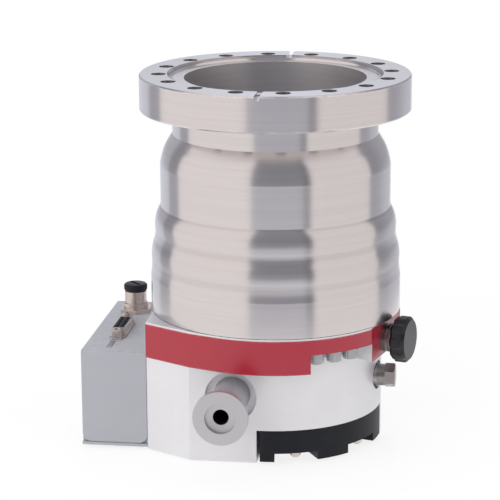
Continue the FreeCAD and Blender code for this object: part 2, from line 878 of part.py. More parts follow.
def makeShaft():
    pinTopZ = stemZ + safetyBearingHeight + pinProud
    return turned([(0, nutZ), (journalRadius, nutZ), (journalRadius, bearingTopZ),
                   (shaftRadius, bearingTopZ), (shaftRadius, shaftTopZ), (pinRadius, shaftTopZ),
                   (pinRadius, pinTopZ), (0, pinTopZ)])


def makeHolweckSleeve():
    return tube(sleeveOuter, sleeveInner + seatFit, shelfZ + sleeveShelfGap, discTopZ)


def makeHolweckStator():
    # A fixed drum round the sleeve with helical pumping grooves in its bore.
    inner = sleeveOuter + holweckGap
    drum = tube(holweckOuter, inner, shelfZ, jointZ)
    steps = 4
    span = 360.0 / holweckGrooves / 3
    grooves = []
    for k in range(holweckGrooves):
        sections = []
        for i in range(steps + 1):
            z = shelfZ - 1 + (jointZ - shelfZ + 2) * i / steps
            start = 360.0 / holweckGrooves * k + holweckTwistAngle * i / steps
            depth = inner + holweckGrooveDepth
            corners = [toward(start, inner - 1, z), toward(start, depth, z),
                       toward(start + span, depth, z), toward(start + span, inner - 1, z)]
            sections.append(Part.makePolygon(corners + corners[:1]))
        grooves.append(Part.makeLoft(sections, True, True))
    vent = ventAxis(disc(ventHoleDia / 2, -ventFace + sleeveInner, 1), ventFace)
    return drum.cut(grooves + [vent])


def makeMotorCore():
    return tube(coreOuter, coreInner, motorZ, motorZ + motorHeight)


def makeMotorWindings():
    outer = coreOuter - windingInset
    inner = coreInner + windingInset
    top = motorZ + motorHeight
    return Part.makeCompound([tube(outer, inner, motorZ - windingHeight, motorZ),
                              tube(outer, inner, top, top + windingHeight)])


def makeMotorMagnet():
    return tube(magnetRadius, shaftRadius + seatFit, motorZ, motorZ + motorHeight)


def raceway():
    # The ring-shaped groove that the balls run in, square to them on all four sides.
    middle = bearingZ + bearingHeight / 2
    reach = (ballDia / 2 + ballPlay) * math.sqrt(2)
    return turned([(ballCircle - reach, middle), (ballCircle, middle - reach),
                   (ballCircle + reach, middle), (ballCircle, middle + reach)])


def makeBearingInnerRing():
    return tube(innerRaceRadius, journalRadius + seatFit, bearingZ, bearingTopZ).cut(raceway())


def makeBearingOuterRing():
    return tube(bearingRadius, outerRaceRadius, bearingZ, bearingTopZ).cut(raceway())


def makeBearingDamper():
    return tube(damperRadius, bearingRadius + seatFit, bearingZ, bearingTopZ)


def ballBearings():
    return [360.0 / ballCount * k for k in range(ballCount)]


def makeBearingBalls():
    ball = Part.makeSphere(ballDia / 2, FreeCAD.Vector(0, -ballCircle, bearingZ + bearingHeight / 2))
    return Part.makeCompound(ringed(ball, ballBearings()))


def makeBearingCage():
    middle = bearingZ + bearingHeight / 2
    half = cageHeight / 2
    cage = tube(ballCircle + cageThick / 2, ballCircle - cageThick / 2, middle - half, middle + half)
    hole = aimed(disc(ballDia / 2 + cageGap, ballCircle - cageThick, ballCircle + cageThick),
                 FreeCAD.Vector(0, 0, middle), FreeCAD.Vector(0, -1, 0))
    return cage.cut(ringed(hole, ballBearings()))


def makeBearingNut():
    # The cone on the shaft's end that draws lubricant up from the felt.
    bore = journalRadius + seatFit
    return turned([(bore, nutZ), (journalRadius + nutLip, nutZ), (innerRaceRadius, bearingZ),
                   (bore, bearingZ)])


def makeElectronicsCase():
    front = boxFront + panelThick + panelGap
    low = boxZ + plateThick
    ceiling = boxTopZ - boxWall
    case = block((boxLeft, front, low), (-sideFace, boxBack, boxTopZ))
    room = block((boxLeft + boxWall, front + boxWall, low - 1),
                 (-sideFace - boxWall, boxBack - boxWall, ceiling))
    cuts = [room, disc(barrelDia / 2 + runningFit, ceiling - 1, boxTopZ + 1, connectorX, connectorY),
            dsubBody(dsubShellLength, dsubShellWidth, ceiling - 1, boxTopZ + 1),
            windowBox(0, boxTopZ - windowSunk, boxTopZ + 1)]
    return case.cut(cuts)


def makeElectronicsPlate():
    plate = block((boxLeft, boxFront, boxZ), (-sideFace, boxBack, boxZ + plateThick))
    holes = [disc(plateScrewDia / 2 + runningFit, boxZ - 1, boxZ + plateScrewDepth, x, y)
             for x, y in plateScrewPlaces()]
    return plate.cut(holes)


def plateScrewPlaces():
    return [(x, y) for x in (boxLeft + plateScrewMargin, -sideFace - plateScrewMargin)
            for y in (boxFront + 2 * plateScrewMargin, boxBack - plateScrewMargin)]


def makePlateScrews():
    return Part.makeCompound([disc(plateScrewDia / 2, boxZ, boxZ + plateScrewDepth, x, y)
                              for x, y in plateScrewPlaces()])


def makeElectronicsPanel():
    # The front panel: square above, rounded at its two lower corners.
    low = boxZ + plateThick + panelGap
    left = boxLeft + panelGap / 2
    right = -sideFace - panelGap / 2
    bend = boxCorner * (1 - math.sqrt(0.5))
    corner = low + boxCorner
    edges = lines([(left, corner), (left, boxTopZ), (right, boxTopZ), (right, corner)])
    edges.append(arc((right, corner), (right - bend, low + bend), (right - boxCorner, low)))
    edges.append(line((right - boxCorner, low), (left + boxCorner, low)))
    edges.append(arc((left + boxCorner, low), (left + bend, low + bend), (left, corner)))
    panel = Part.Face(Part.Wire(edges)).extrude(FreeCAD.Vector(0, panelThick + panelGap, 0))
    return panel.translated(FreeCAD.Vector(0, boxFront, 0))


def makeElectronicsBoard():
    left = boxLeft + boxWall + boardMargin
    right = -sideFace - boxWall - boardMargin
    front = boxFront + panelThick + panelGap + boxWall + boardMargin
    back = boxBack - boxWall - boardMargin
    low = boxZ + plateThick + boardLift
    board = block((left, front, low), (right, back, low + boardThick))
    posts = [disc(boardPostDia / 2, boxZ + plateThick, low, x, y)
             for x in (left + boardPostDia, right - boardPostDia)
             for y in (front + boardPostDia, back - boardPostDia)]
    return joined([board] + posts)


def windowBox(inset, low, high):
    middle = dsubY + windowOffset
    centre = boxLeft + windowInset
    half = windowWidth / 2 - inset
    reach = windowLength / 2 - inset
    return block((centre - half, middle - reach, low), (centre + half, middle + reach, high))


def makeStatusWindow():
    return windowBox(runningFit, boxTopZ - windowSunk, boxTopZ - windowSunk + windowThick)


def makeConnectorFlange():
    hexagon = prism(hexSides, connectorHexAcross, connectorFlange)
    hexagon.rotate(FreeCAD.Vector(), up, connectorHexAngle)
    hexagon.translate(FreeCAD.Vector(connectorX, connectorY, boxTopZ))
    stepZ = boxTopZ + connectorFlange
    step = disc(connectorStepDia / 2, stepZ, stepZ + connectorStep, connectorX, connectorY)
    hole = disc(barrelDia / 2 + seatFit, boxTopZ - 1, barrelZ, connectorX, connectorY)
    return hexagon.fuse(step).cut(hole)


def makeConnectorBarrel():
    outer = barrelDia / 2
    return tube(outer, outer - barrelWall, boxTopZ - barrelDepth, barrelZ, connectorX, connectorY)


def makeConnectorInsert():
    radius = barrelDia / 2 - barrelWall - seatFit
    top = barrelZ - screwCapPlug - insertDepth
    return disc(radius, boxTopZ - barrelDepth, top, connectorX, connectorY)


def makeCapLiner():
    return tube(barrelDia / 2, barrelDia / 2 - barrelWall, barrelZ, linerZ, connectorX, connectorY)


def makeScrewCap():
    plug = barrelDia / 2 - barrelWall - screwCapFit
    cap = disc(screwCapDia / 2, linerZ, linerZ + screwCapHeight, connectorX, connectorY)
    cap = cap.fuse(disc(plug, barrelZ - screwCapPlug, linerZ, connectorX, connectorY))
    top = linerZ + screwCapHeight
    half = capSlotWidth / 2
    slot = block((-screwCapDia, -half, top - capSlotDepth), (screwCapDia, half, top + 1))
    slot.rotate(FreeCAD.Vector(), up, capSlotAngle)
    return cap.cut(slot.translated(FreeCAD.Vector(connectorX, connectorY, 0)))


def dsubBody(length, width, low, high):
    # The connector's outline has slanted ends, longer on the side away from the pump.
    slant = width * math.tan(math.radians(dsubTaperAngle))
    corners = [(-width / 2, length / 2), (width / 2, length / 2 - slant),
               (width / 2, slant - length / 2), (-width / 2, -length / 2)]
    outline = face([FreeCAD.Vector(dsubX + x, dsubY + y, low) for x, y in corners])
    return outline.extrude(up * (high - low))


def makeDsubShell():
    wall = 2 * dsubShellWall
    plates = [block((dsubX - width / 2, dsubY - length / 2, boxTopZ),
                    (dsubX + width / 2, dsubY + length / 2, boxTopZ + dsubPlate))
              for width, length in ((dsubWidth, dsubMiddleLength), (dsubEndWidth, dsubLength))]
    high = boxTopZ + dsubShellHeight
    shell = joined(plates + [dsubBody(dsubShellLength, dsubShellWidth, boxTopZ, high)])
    return shell.cut(dsubBody(dsubShellLength - wall, dsubShellWidth - wall, boxTopZ - 1, high + 1))


def makeDsubInsert():
    wall = 2 * (dsubShellWall + seatFit)
    high = boxTopZ + dsubShellHeight - dsubInsertDrop
    return dsubBody(dsubShellLength - wall, dsubShellWidth - wall, boxTopZ - dsubDepth, high)


def makeDsubStandoffs():
    low = boxTopZ + dsubPlate
    post = prism(hexSides, standoffAcross, standoffHeight)
    places = [dsubY - standoffSpread / 2, dsubY + standoffSpread / 2]
    return Part.makeCompound([post.translated(FreeCAD.Vector(dsubX, y, low)) for y in places])


parts = {
    "housing": makeHousing,
    "base_body": makeBaseBody,
    "housing_screws": makeHousingScrews,
    "housing_seal": makeHousingSeal,
    "label_band": makeLabelBand,
    "foreline_port": makeForelinePort,
    "vent_collar": makeVentCollar,
    "vent_seal": makeVentSeal,
    "vent_stem": makeVentStem,
    "vent_knob": makeVentKnob,
    "purge_washer": makePurgeWasher,
    "purge_plug": makePurgePlug,
    "bottom_cover": makeBottomCover,
    "bottom_cover_screws": makeCoverScrews,
    "rubber_feet": makeFeet,
    "reservoir_cap": makeReservoirCap,
    "reservoir_cap_seal": makeReservoirSeal,
    "reservoir_felt": makeReservoirFelt,
    "rotor": makeRotor,
    "rotor_shaft": makeShaft,
    "holweck_sleeve": makeHolweckSleeve,
    "motor_magnet": makeMotorMagnet,
    "magnet_bearing_rotor": makeMagnetBearingRotor,
    "bearing_inner_ring": makeBearingInnerRing,
    "bearing_nut": makeBearingNut,
    "bearing_cage": makeBearingCage,
    "bearing_balls": makeBearingBalls,
    "bearing_outer_ring": makeBearingOuterRing,
    "bearing_damper": makeBearingDamper,
    "stator_discs": makeStatorDiscs,
    "spacer_rings": makeSpacerRings,
    "holweck_stator": makeHolweckStator,
    "star_holder": makeStarHolder,
    "magnet_bearing_stator": makeMagnetBearingStator,
    "safety_bearing": makeSafetyBearing,
    "motor_core": makeMotorCore,
    "motor_windings": makeMotorWindings,
    "electronics_case": makeElectronicsCase,
    "electronics_panel": makeElectronicsPanel,
    "electronics_plate": makeElectronicsPlate,
    "electronics_plate_screws": makePlateScrews,
    "electronics_board": makeElectronicsBoard,
    "status_window": makeStatusWindow,
    "connector_flange": makeConnectorFlange,
    "connector_barrel": makeConnectorBarrel,
    "connector_insert": makeConnectorInsert,
    "connector_cap_liner": makeCapLiner,
    "connector_cap": makeScrewCap,
    "dsub_shell": makeDsubShell,
    "dsub_insert": makeDsubInsert,
    "dsub_standoffs": makeDsubStandoffs,
}

for name, make in parts.items():
    shape = make().translated(up * -topZ)
    volume = sum(solid.Volume for solid in shape.Solids)
    print(name, len(shape.Solids), "solids", round(volume / 1000, 2), "cm3", shape.isValid())
    shape.exportStep("parts/" + name + ".step")
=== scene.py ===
import json
import math

import bmesh
import bpy
from mathutils import Matrix, Vector


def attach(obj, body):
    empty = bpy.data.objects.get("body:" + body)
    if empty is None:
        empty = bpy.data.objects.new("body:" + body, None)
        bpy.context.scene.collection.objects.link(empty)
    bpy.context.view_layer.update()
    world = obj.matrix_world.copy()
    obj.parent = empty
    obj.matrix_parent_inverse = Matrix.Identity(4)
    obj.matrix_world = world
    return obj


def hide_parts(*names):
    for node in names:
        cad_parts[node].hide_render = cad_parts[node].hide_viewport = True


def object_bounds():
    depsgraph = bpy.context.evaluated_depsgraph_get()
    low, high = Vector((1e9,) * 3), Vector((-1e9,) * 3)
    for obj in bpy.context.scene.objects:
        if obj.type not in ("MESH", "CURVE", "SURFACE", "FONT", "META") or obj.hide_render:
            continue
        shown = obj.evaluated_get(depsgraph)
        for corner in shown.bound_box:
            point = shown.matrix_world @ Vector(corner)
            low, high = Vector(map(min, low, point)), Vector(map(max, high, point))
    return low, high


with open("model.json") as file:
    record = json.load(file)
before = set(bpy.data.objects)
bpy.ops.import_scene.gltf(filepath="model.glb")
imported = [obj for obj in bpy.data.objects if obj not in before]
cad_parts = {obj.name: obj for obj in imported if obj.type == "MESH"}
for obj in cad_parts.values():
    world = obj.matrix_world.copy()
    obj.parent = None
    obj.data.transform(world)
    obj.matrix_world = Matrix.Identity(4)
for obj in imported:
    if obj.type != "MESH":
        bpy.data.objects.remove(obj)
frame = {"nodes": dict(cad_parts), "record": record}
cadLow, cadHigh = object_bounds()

scene = bpy.context.scene
nodes = frame["nodes"]
bodies = frame["record"]["behaviour"]["bodies"]
bodyOf = {node: body for body, members in bodies.items() for node in members}
# Pieces are given in millimetres and degrees, and the table, camera and lamps in metres.
mm = 0.001
tiny = 1e-6


# Shader maths and nodes

class Wire:
    # A value in a node tree. Adding or multiplying wires adds the Math nodes.
    def __init__(self, tree, socket):
        self.tree = tree
        self.socket = socket

    def __add__(self, other): return maths(self.tree, "ADD", self, other)
    def __radd__(self, other): return maths(self.tree, "ADD", other, self)
    def __sub__(self, other): return maths(self.tree, "SUBTRACT", self, other)
    def __rsub__(self, other): return maths(self.tree, "SUBTRACT", other, self)
    def __mul__(self, other): return maths(self.tree, "MULTIPLY", self, other)
    def __rmul__(self, other): return maths(self.tree, "MULTIPLY", other, self)
    def __truediv__(self, other): return maths(self.tree, "DIVIDE", self, other)
    def __pow__(self, other): return maths(self.tree, "POWER", self, other)


def plug(tree, socket, value):
    # Sets a socket to a number, a colour or another node's output.
    if isinstance(value, Wire):
        tree.links.new(value.socket, socket)
    elif socket.type == "RGBA":
        socket.default_value = (*value, 1.0)
    else:
        socket.default_value = value


def addNode(tree, kind, inputs=None, **settings):
    # Any node: its settings, then its sockets by name or number. Gives its outputs by name.
    node = tree.nodes.new(kind)
    for name, value in settings.items():
        setattr(node, name, value)
    for name, value in (inputs or {}).items():
        plug(tree, node.inputs[name], value)
    return {output.name: Wire(tree, output) for output in node.outputs if output.enabled}


def maths(tree, operation, first, second=0.0):
    return addNode(tree, "ShaderNodeMath", {0: first, 1: second}, operation=operation)["Value"]


def mixColour(tree, factor, first, second):
    # The node has sockets for every type of data, so the colour ones go by their number.
    node = tree.nodes.new("ShaderNodeMix")
    node.data_type = "RGBA"
    for index, value in ((0, factor), (6, first), (7, second)):
        plug(tree, node.inputs[index], value)
    return Wire(tree, node.outputs[2])


def noiseOn(tree, place, stretch, scale, detail, roughness):
    # Noise on the object's own coordinates, stretched along the axes, scale in cycles a metre.
    mapped = addNode(tree, "ShaderNodeMapping", {"Vector": place, "Scale": stretch})["Vector"]
    return addNode(tree, "ShaderNodeTexNoise", {
        "Vector": mapped, "Scale": scale, "Detail": detail, "Roughness": roughness})["Fac"]


def ramp(tree, value, low, high, outLow=0.0, outHigh=1.0):
    # Goes softly from one output to the other while the value goes from low to high.
    return addNode(tree, "ShaderNodeMapRange", {
        "Value": value, "From Min": low, "From Max": high, "To Min": outLow, "To Max": outHigh,
    }, interpolation_type="SMOOTHSTEP")["Result"]


def newMaterial(name):
    material = bpy.data.materials.new(name)
    material.use_nodes = True
    tree = material.node_tree
    tree.nodes.clear()
    shader = tree.nodes.new("ShaderNodeBsdfPrincipled")
    output = tree.nodes.new("ShaderNodeOutputMaterial")
    tree.links.new(shader.outputs["BSDF"], output.inputs["Surface"])
    place = addNode(tree, "ShaderNodeTexCoord")["Object"]
    return material, tree, shader, place


def setShader(tree, shader, values):
    for name, value in values.items():
        plug(tree, shader.inputs[name], value)


# What every finish shares: noise as scale, detail and roughness (or without its scale, which the
# recipe gives), and masks as the values where they start and where they are full.
surface = {
    "even": (1, 1, 1),
    "middle": 0.5,
    "bumpDistance": 0.0001,
    "fineNoise": (2.0, 0.7),
    "fineMask": (0.2, 0.8),
    "coarseScale": 0.16,
    "coarseNoise": (2.0, 0.5),
    "coarseMask": (0.25, 0.75),
    "fineShare": 0.5,
    "stainNoise": (34.0, 4.0, 0.6),
    "stainMask": (0.45, 0.75),
    "stainRough": 0.05,
    "grooveTurn": 0.25,
    "grainNoise": (3.0, 0.65),
    "mottleNoise": (45.0, 4.0, 0.6),
    "mottleMask": (0.3, 0.7),
    "mottleRough": 0.06,
    "streak": (1, 1, 6),
    "streakNoise": (60.0, 3.0, 0.55),
    "streakMask": (0.5, 0.8),
    "streakShare": 0.5,
    "edgeNoise": (240.0, 3.0, 0.7),
    "cornerNoise": (240.0, 2.0, 0.55),
    "cornerMask": (0.53, 0.60),
    "brokenMask": (0.40, 0.62),
    "ior": 1.5,
    "coatRough": 0.26,
}


def bump(tree, height, strength):
    return addNode(tree, "ShaderNodeBump", {
        "Height": height, "Strength": strength, "Distance": surface["bumpDistance"]})["Normal"]


def axisDistance(tree, place, axis):
    # Distance from a line along that axis through the origin, and the place along it.
    parts = addNode(tree, "ShaderNodeSeparateXYZ", {"Vector": place})
    others = [parts[letter] for letter in "XYZ" if letter != axis]
    return (others[0] ** 2.0 + others[1] ** 2.0) ** 0.5, parts[axis]


def lineMask(tree, place, axis, lines):
    # One along the lines: each is "radius" or "height", its value and its half width.
    radius, height = axisDistance(tree, place, axis)
    mask = None
    for measure, value, width in lines:
        gap = ((radius if measure == "radius" else height) - value * mm) / (width * mm)
        line = ramp(tree, gap * gap, 1.0, 0.0)
        mask = line if mask is None else maths(tree, "MAXIMUM", mask, line)
    return mask


def brokenPatches(tree, place, noise):
    return ramp(tree, noiseOn(tree, place, surface["even"], *noise), *surface["brokenMask"])


def rubbedLines(tree, place, axis, lines):
    # Rubbed bright along the named edges, in broken patches.
    return lineMask(tree, place, axis, lines) * brokenPatches(tree, place, surface["edgeNoise"])


def cornerWear(tree, place):
    # Rubbed spots where a small dense piece has an outer corner.
    corner = addNode(tree, "ShaderNodeNewGeometry")["Pointiness"]
    patches = brokenPatches(tree, place, surface["cornerNoise"])
    return ramp(tree, corner, *surface["cornerMask"]) * patches


def turnedMetal(name, recipe):
    # Lathe-turned metal: fine rings along the turning axis with faint bands and stains, and
    # painted shade darkening its creases.
    material, tree, shader, place = newMaterial(name)
    axis = recipe["axis"]
    stretch = [recipe["around"]] * 3
    stretch["XYZ".index(axis)] = 1.0
    fine = noiseOn(tree, place, stretch, recipe["lines"], *surface["fineNoise"])
    coarse = noiseOn(tree, place, stretch, recipe["lines"] * surface["coarseScale"],
                     *surface["coarseNoise"])
    stain = noiseOn(tree, place, surface["even"], *surface["stainNoise"])
    rings = ramp(tree, coarse, *surface["coarseMask"]) * (1.0 - surface["fineShare"])
    rings = rings + ramp(tree, fine, *surface["fineMask"]) * surface["fineShare"]
    tone = mixColour(tree, rings, recipe["dark"], recipe["colour"])
    stained = ramp(tree, stain, *surface["stainMask"]) * recipe["stain"]
    tone = mixColour(tree, stained, tone, recipe["dark"])
    worn = rubbedLines(tree, place, axis, recipe["edges"])
    tone = mixColour(tree, worn * recipe["wear"], tone, recipe["worn"])
    # Painted shade: the creases are darkened towards their crease tone.
    shadedCreases = lineMask(tree, place, axis, recipe["shadedCreases"])
    tone = mixColour(tree, shadedCreases * recipe["creaseShadeDepth"], tone, recipe["creaseShadeTone"])
    rough = recipe["rough"] + (fine - surface["middle"]) * recipe["roughSpread"]
    rough = rough + (stain - surface["middle"]) * surface["stainRough"]
    setShader(tree, shader, {
        "Base Color": tone, "Metallic": recipe["metal"], "Roughness": rough,
        "Anisotropic": recipe["anisotropy"],
        "Anisotropic Rotation": recipe.get("grooveTurn", surface["grooveTurn"]),
        "Normal": bump(tree, fine + coarse, recipe["bump"])})
    return material


def grainedSurface(name, recipe):
    # A cast, moulded, painted or blasted surface: fine grain, mottled colour, rubbed edges.
    material, tree, shader, place = newMaterial(name)
    grain = noiseOn(tree, place, surface["even"], recipe["grain"], *surface["grainNoise"])
    mottle = noiseOn(tree, place, surface["even"], *surface["mottleNoise"])
    streak = noiseOn(tree, place, recipe.get("streak", surface["streak"]),
                     *surface["streakNoise"])
    mottled = ramp(tree, mottle, *surface["mottleMask"]) * recipe["mottle"]
    tone = mixColour(tree, mottled, recipe["colour"], recipe["dark"])
    streaked = ramp(tree, streak, *surface["streakMask"]) * recipe["mottle"]
    tone = mixColour(tree, streaked * surface["streakShare"], tone, recipe["dark"])
    if "edges" in recipe:
        worn = rubbedLines(tree, place, "Z", recipe["edges"])
    else:
        worn = cornerWear(tree, place)
    tone = mixColour(tree, worn * recipe["wear"], tone, recipe["worn"])
    rough = recipe["rough"] + (grain - surface["middle"]) * recipe["roughSpread"]
    rough = rough + (mottle - surface["middle"]) * surface["mottleRough"]
    setShader(tree, shader, {
        "Base Color": tone, "Metallic": recipe["metal"], "Roughness": rough,
        "IOR": recipe.get("ior", surface["ior"]), "Coat Weight": recipe.get("coat", 0.0),
        "Coat Roughness": surface["coatRough"], "Normal": bump(tree, grain, recipe["bump"])})
    return material


